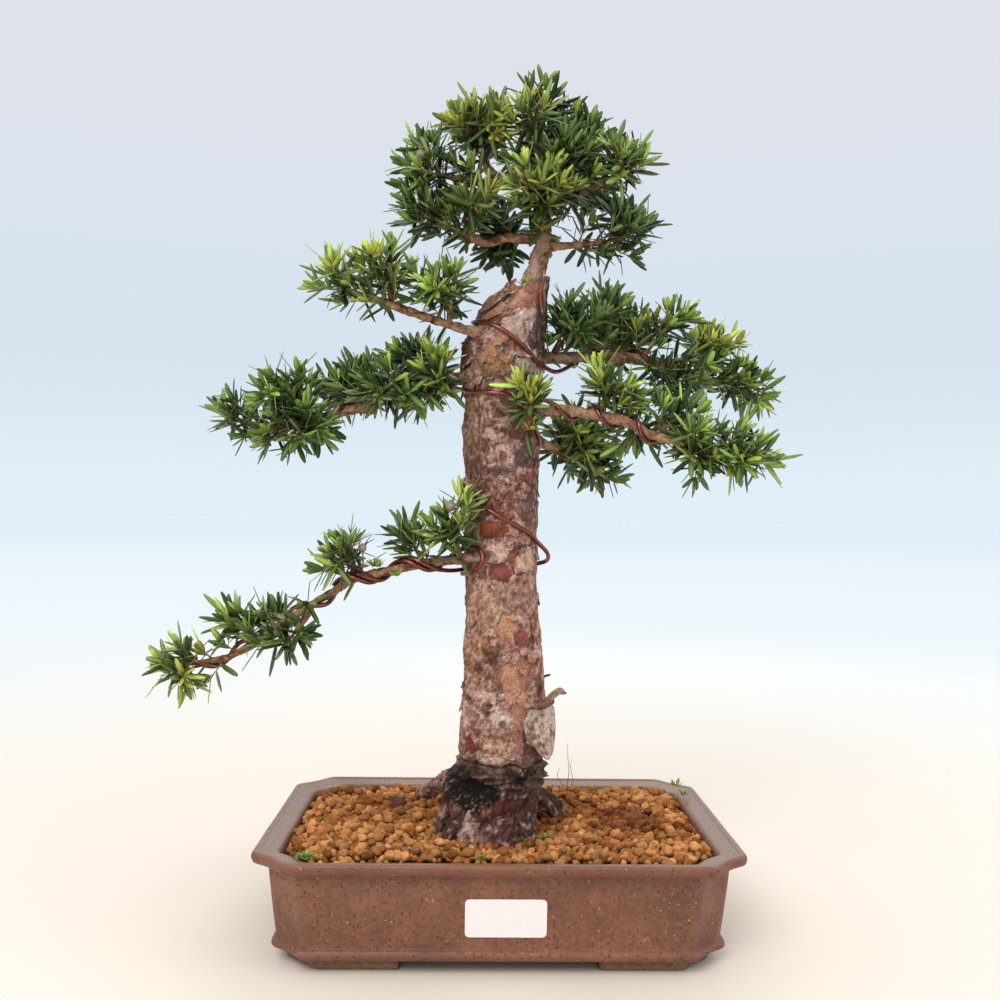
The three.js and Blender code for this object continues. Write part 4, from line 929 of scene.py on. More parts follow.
@dataclass(frozen=True)
class Coated(Finish):
    """A plain coloured surface with soft mottle and specks, for paper, plastic and seed coats."""
    name: str = "coated"
    colour: Colour = (0.8, 0.8, 0.8)
    second: Colour = (0.6, 0.6, 0.6)
    mottle_scale: float = 120.0
    spread: float = 0.06
    speck_share: float = 0.1
    uneven: float = 0.08

    def dress(self, nodes: Nodes, grain: Socket) -> dict[str, Socket]:
        """Joins the colour, its mottle and its specks.

        Args:
            nodes: the tree.
            grain: the noise of the fine grain.

        Returns:
            Base Color and Roughness.
        """
        base = self.mottled(nodes, self.colour, self.mottle_scale, 1 - self.spread, 1 + self.spread)
        specks = self.specks(nodes, 900.0, 0.3, self.speck_share, 0.5)
        low, high = self.roughness - self.uneven, self.roughness + self.uneven
        return {"Base Color": nodes.mix(specks, base, self.second),
                "Roughness": nodes.span(grain, low, high, 0.3, 0.7)}


# Bark

class BarkKind(Enum):
    """Kinds of bark patch: two colours it is mottled with, its height in millimetres, its wetness."""
    ORANGE = ("a3603c", "70402a", -0.7, 0.16)
    TAN = ("bd9278", "9c6c5a", -0.8, 0.16)
    PINK = ("a97a6e", "875248", -0.8, 0.2)
    RED = ("93564e", "6a3a35", -0.7, 0.22)
    PALE = ("cbb0a0", "a08070", 0.7, 0.0)
    CHALK = ("d6c4ba", "a98c7e", 0.4, 0.0)
    SLATE = ("6a5a58", "4c3b38", -0.1, 0.1)
    MAUVE = ("76504a", "573833", -0.1, 0.12)
    RUST = ("96543a", "6f3524", -0.3, 0.15)
    OLIVE = ("84694a", "5c452c", 0.2, 0.0)
    FLAKY = ("a67e5e", "76553b", 0.6, 0.0)
    CRUST = ("5f4030", "38231a", 0.5, 0.05)
    # near black: painted shade inside the trunk's hollow
    HOLLOW = ("0e0705", "030201", -2.4, 0.0)
    WOUND = ("8c352c", "6a241f", -0.9, 0.5)
    PURPLE = ("613029", "2e1513", 0.3, 0.45)
    FLESH = ("b98a78", "8a5a4e", 0.5, 0.35)


@dataclass(frozen=True)
class Patch:
    """A patch of bark on the trunk: its kind, middle, half width in degrees and half height."""
    kind: BarkKind
    angle: float
    z: float
    half_angle: float
    half_z: float
    ragged: float = 0.45
    strength: float = 1.0


PATCHES = [Patch(BarkKind[kind], *rest) for kind, *rest in (
    ("TAN", -63, 423, 27, 7.5), ("PINK", -56, 428, 16, 4, 0.5, 0.7), ("FLAKY", -111, 419, 19, 7, 0.6),
    ("RUST", -36, 420, 8, 12, 0.6, 0.8), ("CHALK", -76, 403, 26, 10, 0.8, 0.5),
    ("CHALK", -60, 411, 14, 4, 0.9, 0.6), ("SLATE", -36, 402, 15, 10, 0.8, 0.85),
    ("RUST", -80, 395, 12, 5, 0.8, 0.5), ("FLAKY", -103, 384, 27, 14, 0.7),
    ("CRUST", -96, 374, 18, 2.2, 0.9, 0.7), ("CRUST", -156, 393, 15, 12, 0.7, 0.9),
    ("CHALK", -54, 384, 20, 9, 0.7, 0.85), ("PINK", -88, 369, 14, 6, 0.5, 0.7),
    ("RUST", -66, 390, 9, 5, 0.8, 0.6), ("RED", -46, 350, 22, 10, 0.8, 0.7),
    ("RUST", -70, 353, 14, 5, 0.8, 0.6), ("MAUVE", -52, 337, 26, 6, 0.8, 0.85),
    ("SLATE", -58, 322, 14, 9, 0.9, 0.7), ("CHALK", -104, 335, 16, 8, 0.9, 0.55),
    ("MAUVE", -118, 327, 8, 5, 0.6, 0.8), ("CHALK", -90, 320, 13, 7, 0.5, 0.5),
    ("RED", -90, 320, 6, 4, 0.4, 0.9), ("SLATE", -88, 311, 22, 3.5, 0.9, 0.6),
    ("OLIVE", -150, 330, 20, 30, 1.2, 0.5), ("ORANGE", -40, 306, 7, 10, 0.8, 0.75),
    ("OLIVE", -140, 285, 20, 12, 0.8, 0.6), ("SLATE", -50, 288, 22, 12, 0.9, 0.55),
    ("ORANGE", -112, 271, 27, 6, 0.6), ("RUST", -86, 281, 12, 3, 0.8, 0.6),
    ("PALE", -98, 257, 18, 7.5, 0.75), ("PALE", -53, 253, 21, 7.5, 0.75),
    ("ORANGE", -76, 250, 6, 8, 0.5, 0.8), ("CRUST", -62, 260, 8, 3, 0.9, 0.6),
    ("RED", -94, 242.5, 18, 6, 0.5), ("RED", -66, 244, 8, 3, 0.5, 0.7),
    ("MAUVE", -84, 226, 26, 8, 0.9, 0.3), ("TAN", -80, 205, 22, 11, 0.6),
    ("RED", -57, 198, 17, 7.5, 0.6, 0.9), ("PINK", -62, 187, 20, 6, 0.7, 0.9),
    ("CRUST", -108, 193, 24, 1.6, 0.9, 0.6), ("TAN", -71, 169, 28, 20, 0.5),
    ("PINK", -52, 178, 12, 15, 0.8, 0.55), ("CRUST", -33, 169, 7, 7, 0.6, 0.8),
    ("CRUST", -128, 180, 7, 4, 0.4, 0.85), ("CRUST", -108, 186, 14, 5, 1.1, 0.6),
    ("CRUST", -100, 172, 8, 9, 1.1, 0.5), ("CHALK", -122, 162, 22, 3, 1.3, 0.5),
    ("CHALK", -88, 150, 16, 5, 1.3, 0.5), ("CRUST", -112, 154, 9, 4, 0.7, 0.7),
    ("CRUST", -90, 144, 5, 2.5, 0.7, 0.7), ("PINK", -135, 150, 10, 8, 0.8, 0.6),
    ("WOUND", -140, 129, 10, 6, 0.9, 0.95), ("TAN", -65, 141, 11, 16, 0.8, 0.85),
    # the mauve patch at -48, 130 lies under the loose plate: a painted shadow of the plate
    ("PINK", -63, 128, 10, 11, 0.9, 0.8), ("MAUVE", -48, 130, 12, 17, 0.5, 0.8),
    # the first patch here lies in the trunk's hollow: painted shade inside it
    ("HOLLOW", -122, 97, 27, 10, 0.6), ("PURPLE", -66, 90, 22, 11, 1.2, 0.75),
    ("WOUND", -82, 91, 14, 5, 1.6, 0.3), ("OLIVE", -36, 103, 15, 14, 1.4, 0.4),
    ("FLESH", -112, 72, 17, 9, 0.8, 0.9), ("FLESH", -84, 68, 14, 9, 0.9, 0.7),
    ("ORANGE", 150, 300, 20, 10, 0.7, 0.8), ("PALE", 95, 262, 24, 9, 0.8), ("TAN", 60, 215, 20, 14, 0.6),
    ("RED", 120, 236, 18, 8, 0.7), ("PALE", 20, 330, 18, 12, 0.9), ("TAN", 110, 165, 18, 16, 0.6),
    ("CHALK", 170, 190, 20, 12, 1.1, 0.7), ("FLAKY", 70, 384, 30, 16, 0.8),
    ("MAUVE", 100, 340, 26, 12, 0.8, 0.7), ("ORANGE", 30, 156, 13, 9, 0.7), ("PALE", 150, 140, 22, 10, 0.9),
    ("PINK", -5, 240, 14, 12, 0.7), ("OLIVE", -172, 240, 16, 24, 0.9, 0.6),
    ("CHALK", 40, 285, 22, 8, 1.1, 0.6))]

# Ground colour of the bark by height: the height and its deep, middle and pale tones
ZONES = [
    (50, "4a2c2a", "86594f", "b88c7c"), (74, "3f2422", "7c4f48", "b08272"),
    (86, "22100f", "4f2c28", "875a4e"), (98, "0a0403", "22120c", "6a4434"),
    (112, "0d0604", "2f1b14", "825e4c"), (117, "4a2f22", "7d5c4a", "ad8b78"),
    (128, "63432f", "9a7660", "c8a896"), (150, "6b4635", "a07766", "cdb0a1"),
    (185, "6a4230", "9b7058", "c3a08c"), (225, "74503f", "a47c6b", "c0a090"),
    (262, "744a3c", "9e7466", "c29c88"), (300, "5a342b", "82564a", "a58074"),
    (345, "54332a", "7f594d", "a9867b"), (380, "583b2a", "8d6a56", "c0a290"),
    (412, "55382a", "8c6655", "bd9b8a"), (436, "4a3122", "7d5a44", "ab8b74")]


@dataclass
class BarkState:
    """The bark while it is worked out, one value a place.

    bent: the places, bent by soft noise; angle: radians round the trunk; z: heights in millimetres;
    relief: how far it stands out; colour: its linear colour; wet: how wet it is.
    """
    bent: Array
    angle: Array
    z: Array
    relief: Array
    colour: Array
    wet: Array


@dataclass
class BarkField:
    """Height and colour of the trunk's bark at any angle and height."""
    reach: float = 25.0
    warp: float = 7.0
    stairs: float = 8.0
    stair_height: float = 0.55
    ring_z: float = 110.0
    crack_z: float = 117.5
    tone_power: float = 1.25
    tone_gain: float = 1.22
    glint_angle: float = -118.0
    glint_z: float = 90.0
    vein_angle: float = -112.0
    vein_z: float = 153.0
    # how dark the painted shadow at the foot of each step is
    step_foot_shade: float = 0.78
    dot_dark: float = 0.56
    fleck: str = "dcc6b8"
    # the pale lip of each step: its pale edge with a painted highlight
    lip: str = "d8c2b4"
    glint: str = "a58f62"
    thin_vein: str = "d8c4b8"
    thick_vein: str = "dfccc4"
    # a painted highlight on the crests of the ring's folds
    ridge: str = "9a6f5b"
    # the colour of the painted glints on the ring's folds
    painted_glint: str = "d6bfb0"
    patch_lip: str = "dccabd"

    def at(self, angle: Array, z: Array) -> tuple[Array, Array]:
        """Works out relief and paint.

        Places are first bent by soft noise. The relief is then noise cut into stairs, so that plates
        of bark end in sharp ragged steps, with ridges, lumps and grit. Under the crack the bark turns
        into a swollen, wrinkled ring. A dark line of painted shadow lies at the foot of each step, and a
        pale line on its lip, which is its pale edge with a painted highlight.
        Above the crack the colour is deepened: a gain times the colour raised to a power.

        Args:
            angle: radians round the trunk.
            z: heights in millimetres.

        Returns:
            The relief in millimetres and four painted values: the colour and the wetness.
        """
        p = np.stack([self.reach * np.cos(angle), self.reach * np.sin(angle), z], -1)
        bend = np.stack([noise(p, 13, seed, 3) for seed in (5, 6, 7)], -1) - 0.5
        q = p + self.warp * bend
        broad, plates = noise(q, 24, 1), noise(q, 10, 2, 4)
        cloud, fine = noise(q, 7, 8, 4), noise(p, 2.6, 3, 3)
        grit, streak = noise(p, 1.25, 4, 2), noise(p * (1, 1, 0.4), 1.7, 9, 3)
        level = (0.6 * plates + 0.4 * broad) * self.stairs
        step = np.floor(level)
        part = level - step
        dry = smooth(z, self.crack_z - 2, self.crack_z + 1)
        relief = (step + smooth(part, 0, 0.14) - 4) * self.stair_height * (0.35 + 0.65 * dry)
        relief = relief + 1.6 * (broad - 0.5) + 1.2 * (fine - 0.5) + 0.7 * (grit - 0.5)
        # painted shadow at the foot of each step; the lip's pale line is its pale edge with a painted
        # highlight
        foot = bell(part, 0, 0.07) * smooth(cloud, 0.4, 0.6)
        lip = bell(part, 0.2, 0.09) * smooth(fine, 0.35, 0.6)
        colour = self._ground(z, 0.3 * cloud + 0.35 * fine + 0.35 * streak)
        hue = (noise(q, 19, 10, 3) - 0.5)[..., None]
        colour = colour * (1 + 0.5 * hue * np.array([0.1, 0.55, 0.1]))
        dots = smooth(0.5 * grit + 0.5 * streak, 0.58, 0.66)[..., None]
        colour = colour * (1 - self.dot_dark * dots)
        flecks = smooth(0.5 * grit + 0.5 * fine, 0.585, 0.65)
        colour = toward(toward(colour, self.fleck, 0.34 * flecks * dry), self.lip, 0.45 * lip * dry)
        colour = colour * (1 - self.step_foot_shade * foot[..., None])
        bark = BarkState(q, angle, z, relief, colour, 0.42 * (1 - dry) * smooth(cloud, 0.3, 0.55))
        self._veins(bark, cloud * dry)
        self._ring(bark, p, fine)
        for k, patch in enumerate(PATCHES):
            self._patched(bark, patch, k)
        glint = smooth(noise(p, 1.2, 91, 2), 0.65, 0.71) * bell(z, self.glint_z, 8)
        glint = glint * smooth(np.cos(angle - np.radians(self.glint_angle)), 0.75, 0.95)
        colour = np.clip(toward(bark.colour, self.glint, 0.5 * glint), 0, 1)
        deeper = self.tone_gain * colour ** self.tone_power
        colour = np.clip(colour + (deeper - colour) * dry[..., None], 0, 1)
        return bark.relief + 0.8 * glint, np.concatenate([colour, bark.wet[..., None]], -1)

    @staticmethod
    def _ground(z: Array, shade: Array) -> Array:
        """Deep, middle and pale tones of the height, blended by the shade.

        Args:
            z: heights.
            shade: how pale, from 0 to 1.

        Returns:
            The colours.
        """
        heights = [zone[0] for zone in ZONES]
        deep, middle, pale = (np.stack([np.interp(z, heights, [paint(zone[n])[k] for zone in ZONES])
                                        for k in range(3)], -1) for n in (1, 2, 3))
        low, high = smooth(shade, 0.32, 0.5)[..., None], smooth(shade, 0.5, 0.64)[..., None]
        return deep + (middle - deep) * low + (pale - middle) * high

    def _veins(self, bark: BarkState, share: Array) -> None:
        """Adds thin pale winding lines, where noise passes its middle, and thick ones in a band low in front.

        Args:
            bark: the bark so far, which is changed.
            share: where the thin lines may run.
        """
        thin = smooth(-np.abs(noise(bark.bent, 9, 95, 3) - 0.5), -0.028, -0.008) * smooth(share, 0.35, 0.55)
        band = smooth(np.cos(bark.angle - np.radians(self.vein_angle)), 0.6, 0.85)
        band = bell(bark.z, self.vein_z, 10) * band
        thick = smooth(-np.abs(noise(bark.bent, 7.5, 96, 3) - 0.5), -0.075, -0.03) * band
        bark.colour = toward(toward(bark.colour, self.thin_vein, 0.45 * thin), self.thick_vein, 0.8 * thick)
        bark.relief = bark.relief + 0.5 * thin + 1.5 * thick

    def _ring(self, bark: BarkState, p: Array, fine: Array) -> None:
        """Adds the crack round the trunk's foot, the swollen ring under it and the folds of the flare,
        with painted shade in the crack and the creases and painted highlights and glints on the crests.

        A fold is a ridge of noise: four times its distance from its middle value.

        Args:
            bark: the bark so far, which is changed.
            p: the places on a plain round trunk.
            fine: the fine noise there.
        """
        wander = bark.z + 5 * (noise(p * (1, 1, 0), 15, 92, 3) - 0.5)
        crack = bell(wander, self.crack_z, 1.1)
        swell = bell(wander, self.ring_z, 4.5)
        folds = np.abs(noise(p * (0.35, 0.35, 1.3), 4.2, 93, 3) - 0.5) * 4
        upright = np.abs(noise(p * (1.1, 1.1, 0.3), 5.0, 94, 3) - 0.5) * 4
        under = 1 - smooth(wander, self.crack_z - 3, self.crack_z)
        belt = under * smooth(wander, 96, 103)
        relief = bark.relief - 2.8 * crack + 1.3 * swell + 3.8 * belt * (folds - 0.6)
        relief = relief + 3.0 * under * (1 - belt) * (upright - 0.6)
        ridge = np.where(belt > 0.5, folds, upright)
        crease_shade = smooth(-ridge, -0.3, -0.05) * under
        # painted shade: darker in the creases of the folds and along the crack
        colour = bark.colour * (1 - 0.75 * crease_shade[..., None]) * (1 - 0.85 * crack[..., None])
        # painted highlight: the crests of the folds take the ridge tone
        colour = toward(colour, self.ridge, 0.6 * smooth(ridge + 0.6 * fine, 1.2, 1.6) * under)
        # painted glints: small pale highlights on the crests
        painted_glint = smooth(noise(p * (1, 1, 1.5), 1.3, 97, 2), 0.63, 0.7) * under
        painted_glint = painted_glint * smooth(folds + upright, 0.9, 1.6)
        bark.relief, bark.colour = relief + 0.5 * painted_glint, toward(colour, self.painted_glint, 0.7 * painted_glint)

    def _patched(self, bark: BarkState, patch: Patch, k: int) -> None:
        """Lays one patch over the bark: a warped ellipse, mottled inside; a sunken one gets a raised pale
        lip with a dark line of painted shadow inside it, a raised one a painted shadow round its edge.

        Args:
            bark: the bark so far, which is changed.
            patch: the patch.
            k: its place in the list, which chooses its noise.
        """
        code, second, lift, gloss = patch.kind.value
        turn = np.angle(np.exp(1j * (bark.angle - np.radians(patch.angle))))
        across, up = turn / np.radians(patch.half_angle), (bark.z - patch.z) / patch.half_z
        near = np.hypot(across, up) < 2.2
        if not near.any():
            return
        at = bark.bent[near]
        shift = [patch.ragged * 2.2 * (noise(at, size, seed + k, 4) - 0.5)
                 for size, seed in ((8, 130), (8, 230), (3, 330))]
        edge = np.hypot(across[near] + shift[0], up[near] + shift[1]) + 0.6 * shift[2]
        mask = smooth(-edge, -1.05, -0.93) * patch.strength
        rim = bell(edge, 1.1, 0.08) * patch.strength
        shade = 0.5 * noise(at, 6, 60 + k, 3) + 0.3 * noise(at, 1.6, 61, 2) + 0.2 * smooth(up[near], -1, 1)
        inside = toward(paint(second), code, smooth(shade, 0.3, 0.6))
        inside = inside * (1 - 0.18 * smooth(noise(at, 1.1, 62, 2), 0.6, 0.68)[..., None])
        inner = bark.colour[near] + (inside - bark.colour[near]) * 0.92 * mask[..., None]
        ground = bark.relief[near]
        if lift < 0:
            inner = toward(inner, self.patch_lip, 0.34 * rim * (bark.z[near] > self.crack_z + 1.5))
            # painted shadow: a dark line just inside the lip of a sunken patch
            inner = inner * (1 - 0.45 * bell(edge, 0.95, 0.06) * patch.strength)[..., None]
            ground = ground * (1 - 0.75 * mask) + 0.5 * rim
        else:
            # painted shadow round the edge of a raised patch
            inner = inner * (1 - 0.5 * rim[..., None])
        bark.relief[near], bark.colour[near] = ground + lift * mask, inner
        bark.wet[near] = bark.wet[near] + (gloss - bark.wet[near]) * mask


@dataclass
class Skeleton:
    """The tree's wood without its relief: where the trunk's skin and the branches run."""
    cut_start: float = 392.0
    cut_slope: float = 0.5
    flutes: tuple[float, float] = (0.7, 0.5)
    hollow_angle: float = -120.0
    hollow_z: float = 98.0
    hollow_depth: float = 8.0
    hollow_half: tuple[float, float] = (23.0, 8.0)
    branches: dict[str, Array] = field(init=False)

    def __post_init__(self) -> None:
        """Turns the branch routes into arrays."""
        self.branches = {name: np.array(route, float) for name, route in ROUTES.items()}

    @property
    def top(self) -> float:
        """Height of the sawn top on its axis."""
        return float(TRUNK[-1, 0])

    def skin(self, angle: Array, z: Array, grow: Array | float = 0.0) -> Array:
        """Points on the trunk's skin: a circle with three and five flutes, a hollow and a slanted top.

        Args:
            angle: radians round the trunk.
            z: heights.
            grow: how far outside the bare trunk.

        Returns:
            The points.
        """
        x, y, radius = (np.interp(z, TRUNK[:, 0], TRUNK[:, k]) for k in (1, 2, 3))
        radius = radius + self.flutes[0] * np.sin(3 * angle + z / 55)
        radius = radius + self.flutes[1] * np.sin(5 * angle - z / 37 + 1)
        turn = np.angle(np.exp(1j * (angle - np.radians(self.hollow_angle))))
        wide, high = np.radians(self.hollow_half[0]), self.hollow_half[1]
        inside = np.exp(-(turn / wide) ** 2 - ((z - self.hollow_z) / high) ** 2)
        radius = radius - self.hollow_depth * inside + grow
        slant = self.cut_slope * smooth(z, self.cut_start, self.top)
        return np.stack([x + radius * np.cos(angle), y + radius * np.sin(angle),
                         z + slant * radius * np.cos(angle)], -1)

    def length(self, name: str) -> float:
        """Length of a branch along its route's points."""
        return float(np.linalg.norm(np.diff(self.branches[name][:, :3], axis=0), axis=1).sum())

    def place(self, name: str, distance: Array | float) -> tuple[Array, Array, Array]:
        """Places at distances along a branch.

        Args:
            name: the branch.
            distance: how far along it.

        Returns:
            The points, their directions and radii.
        """
        route = self.branches[name]
        parts = np.diff(route[:, :3], axis=0)
        gone = np.concatenate([[0], np.cumsum(np.linalg.norm(parts, axis=1))])
        distance = np.clip(np.asarray(distance, float), 0, gone[-1])
        point = np.stack([np.interp(distance, gone, route[:, k]) for k in range(3)], -1)
        span = np.clip(np.searchsorted(gone, distance, side="left") - 1, 0, len(parts) - 1)
        return point, unit(parts)[span], np.interp(distance, gone, route[:, 3])


# Plates that peel off the trunk: middle angle and height, half width in degrees, half height, lift
PEELING = [
    (-98, 257, 19, 9, 2.4), (-53, 252, 21, 9, 2.4), (-80, 262, 9, 4, 1.6), (-112, 421, 17, 6, 2.6),
    (-126, 431, 24, 5, 3.4), (-98, 434, 13, 5, 3.6), (-30, 424, 8, 13, 2.2), (-112, 388, 13, 8, 2.0),
    (-82, 379, 13, 6, 1.8), (-125, 376, 11, 7, 2.2), (-150, 372, 12, 9, 2.0), (-96, 366, 12, 5, 1.8),
    (-46, 190, 9, 7, 2.2), (-56, 214, 8, 6, 1.6), (-88, 306, 8, 4, 1.4), (-60, 296, 9, 4, 1.3),
    (-100, 342, 10, 4, 1.2), (-76, 126, 14, 6, 1.6), (-100, 121, 22, 4, 2.2), (-60, 120, 16, 4, 1.8),
    (-86, 160, 14, 5, 1.5), (-112, 160, 14, 4, 1.4), (-35, 205, 7, 10, 1.6), (-146, 214, 10, 8, 1.4)]


@dataclass(frozen=True)
class SheetLook:
    """A sheet of loose bark: its chance, inner colour, thickness, outline and how finely it is made."""
    seed: int
    inner: str
    thick: float
    ragged: float
    columns: int = 36
    rows: int = 8
    corner: float = 0.35
    pale_rim: float = 0.2


@dataclass(frozen=True)
class Blotches:
    """A bark colour with blotches, paler to the right by its lean, over a sheet's width and height."""
    pale: str
    deep: str
    size: float
    seed: int
    lean: float = 0.0

    def __call__(self, u: Array, v: Array) -> Array:
        """Blends the two tones by coarse and fine noise.

        Args:
            u: places across the sheet, from -1 to 1.
            v: places up the sheet.

        Returns:
            The colours.
        """
        at = np.stack([u * 9, v * 16, 0 * u], -1)
        mottle = 0.6 * noise(at, self.size, self.seed, 3) + 0.4 * noise(at, self.size / 4, self.seed + 1, 2)
        return toward(paint(self.deep), self.pale, smooth(mottle + self.lean * u, 0.34, 0.62))


@dataclass
class Wood:
    """Trunk, roots, branches, twigs and loose bark."""
    skeleton: Skeleton
    material: Material
    columns: int = 204
    row_step: float = 1.08
    branch_step: float = 1.5
    scale_count: int = 120
    top_flakes: int = 22
    root_sides: int = 30
    root_wet: float = 0.22
    branch_wet: float = 0.04
    sawn: str = "a08d7c"
    root_spot: str = "d0b3a0"
    sheet_rim: str = "d6c2b2"
    branch_deep: str = "5a331f"
    branch_pale: str = "b18764"
    branch_bleached: str = "cdb2a2"
    branch_young: str = "94583a"
    bark: BarkField = field(default_factory=BarkField)

    def build(self, twigs: Sequence[Array]) -> None:
        """Makes the trunk piece and the branches piece.

        Args:
            twigs: for each twig, its start and end with radii, shape (2, 4).
        """
        trunk = Skin.joined([self.trunk(), *self.roots()])
        make_piece("trunk_and_roots", trunk, self.material, ["trunk_and_branches"])
        make_piece("loose_bark", Skin.joined(self.flakes()), self.material, ["trunk_and_branches"])
        limbs = [self.limb(route, k) for k, route in enumerate(self.skeleton.branches.values())]
        limbs += [self.limb(twig, 40 + k, 9) for k, twig in enumerate(twigs)]
        make_piece("branches_and_twigs", Skin.joined(limbs), self.material, ["trunk_and_branches"])

    def trunk(self) -> Skin:
        """The trunk: its skin pushed out by the bark, then a jagged rim and a sunken, cracked cut.

        Returns:
            A closed skin.
        """
        rows = int((self.skeleton.top - TRUNK[0, 0]) / self.row_step)
        z, angle = grid(np.linspace(TRUNK[0, 0], self.skeleton.top, rows), self.columns)
        relief, colours = self.bark.at(angle, z)
        rings = self.skeleton.skin(angle, z, relief)
        jag = noise(rings[-1] * (1, 1, 0), 7, 70, 4) - 0.42
        rings[..., 2] += smooth(z, self.skeleton.top - 6, self.skeleton.top) * jag * 7
        cut, cut_colours = self._cut(angle[-1], rings[-1])
        return closed_run(np.concatenate([rings, cut]), np.concatenate([colours, cut_colours]))

    def _cut(self, angle: Array, rim: Array) -> tuple[Array, Array]:
        """The old saw cut: rings that step inwards and down from the rim, with radial cracks darkened by
        painted shade.

        Args:
            angle: radians round the rim.
            rim: the rim's points.

        Returns:
            The rings and their paint.
        """
        depth = np.array([0.1, 1.2, 3.4, 4.6, 5.0, 5.3, 5.5, 5.6, 5.7, 5.7, 5.7])[:, None]
        inwards = np.array([1.6, 2.6, 3.6, 5.5, 8, 10.5, 13, 15.5, 18, 20.5, 22.6])[:, None]
        level = self.skeleton.skin(angle[None] + 0 * depth, self.skeleton.top - depth, -inwards)
        hold = np.exp(-inwards / 2.2)[..., None]
        outward = np.stack([np.cos(angle), np.sin(angle), 0 * angle], -1)
        rings = level * (1 - hold) + (rim[None] - outward[None] * inwards[..., None] * 0.6) * hold
        cracks = smooth(np.abs(np.sin(4.5 * angle + 2 * np.sin(2 * angle)))[None] + 0 * depth, 0.0, 0.12)
        rings[..., 2] += 0.8 * (noise(rings, 2.4, 71, 3) - 0.5) - 1.1 * (1 - cracks)
        circles = 0.5 + 0.5 * np.sin(inwards * 2.6 + 2 * noise(rings, 9, 72, 2))
        # painted shade: the colour is darker in the radial cracks
        shade = (0.45 + 0.35 * circles + 0.35 * noise(rings, 3, 73, 2)) * (0.35 + 0.65 * cracks)
        return rings, with_fourth(paint(self.sawn) * shade[..., None])

    def roots(self) -> list[Skin]:
        """Surface roots: lumpy tubes with lengthwise cords, pale at the left and front, dark elsewhere.

        Returns:
            One closed skin a root.
        """
        turn = around(self.root_sides)[None]
        skins = []
        for k, root in enumerate(ROOTS):
            path = evenly(spline(np.array(root.route, float), 12), 1.3)
            rings = tube_rings(path[:, :3], path[:, 3], self.root_sides)
            middle = path[:, None, :3]
            lumps = noise(rings, 9, 80 + k, 3) - 0.5
            folds = np.abs(noise(rings, 4.2, 85 + k, 3) - 0.5) * 4
            cords = np.sin(5 * turn + 9 * noise(middle, 14, 78 + k, 2))
            swell = 1 + 0.6 * lumps + 0.26 * (folds - 0.6) + 0.12 * cords
            rings = middle + (rings - middle) * swell[..., None]
            light = smooth(0.6 * noise(rings, 5, 88 + k, 4) + 0.4 * noise(rings, 1.6, 89, 2), 0.3, 0.66)
            # painted shade: darker in the creases between the folds
            crease_shade = smooth(-folds, -0.3, -0.05)[..., None]
            colours = paint(root.tint) * (0.25 + 0.9 * light[..., None]) * (1 - 0.75 * crease_shade)
            spots = smooth(noise(rings, 4, 99 + k, 3), 0.6, 0.66)
            colours = toward(colours, self.root_spot, 0.45 * spots)
            skins.append(closed_run(rings, with_fourth(colours, self.root_wet)))
        return skins

    def limb(self, route: Array, seed: int, sides: int = 16) -> Skin:
        """A branch or twig: a tube along a smooth curve, thicker at its foot, knobbly and striped.

        Args:
            route: its points x, y, z and radius.
            seed: chooses its noise.
            sides: how many sides it has.

        Returns:
            A closed skin: bleached near the trunk where it is thick, red-brown where it is thin.
        """
        path = evenly(spline(route, 10), self.branch_step)
        gone = np.arange(len(path)) * self.branch_step
        collar = 1 + 0.28 * bell(gone, 0, 11)
        rings = tube_rings(path[:, :3], path[:, 3] * collar, sides)
        middle = path[:, None, :3]
        knobs = noise(rings, 5.5, 110 + seed, 3) - 0.5
        scales = noise(rings, 1.9, 130 + seed, 2) - 0.5
        rings = middle + (rings - middle) * (1 + 0.55 * knobs + 0.5 * scales)[..., None]
        light = smooth(0.55 * noise(rings, 6, 150 + seed, 3) + 0.45 * noise(rings, 1.8, 151, 2), 0.34, 0.64)
        near = (bell(gone, 0, 44) * (path[:, 3] > 3))[:, None]
        bleached = near * smooth(noise(rings, 4, 152 + seed, 2), 0.35, 0.6)
        young = 1 - smooth(path[:, 3], 1.4, 2.6)
        colours = toward(paint(self.branch_deep), self.branch_pale, light)
        colours = toward(colours, self.branch_bleached, 0.8 * bleached)
        colours = toward(colours, self.branch_young, 0.6 * young[:, None])
        return closed_run(rings, with_fourth(colours, self.branch_wet))

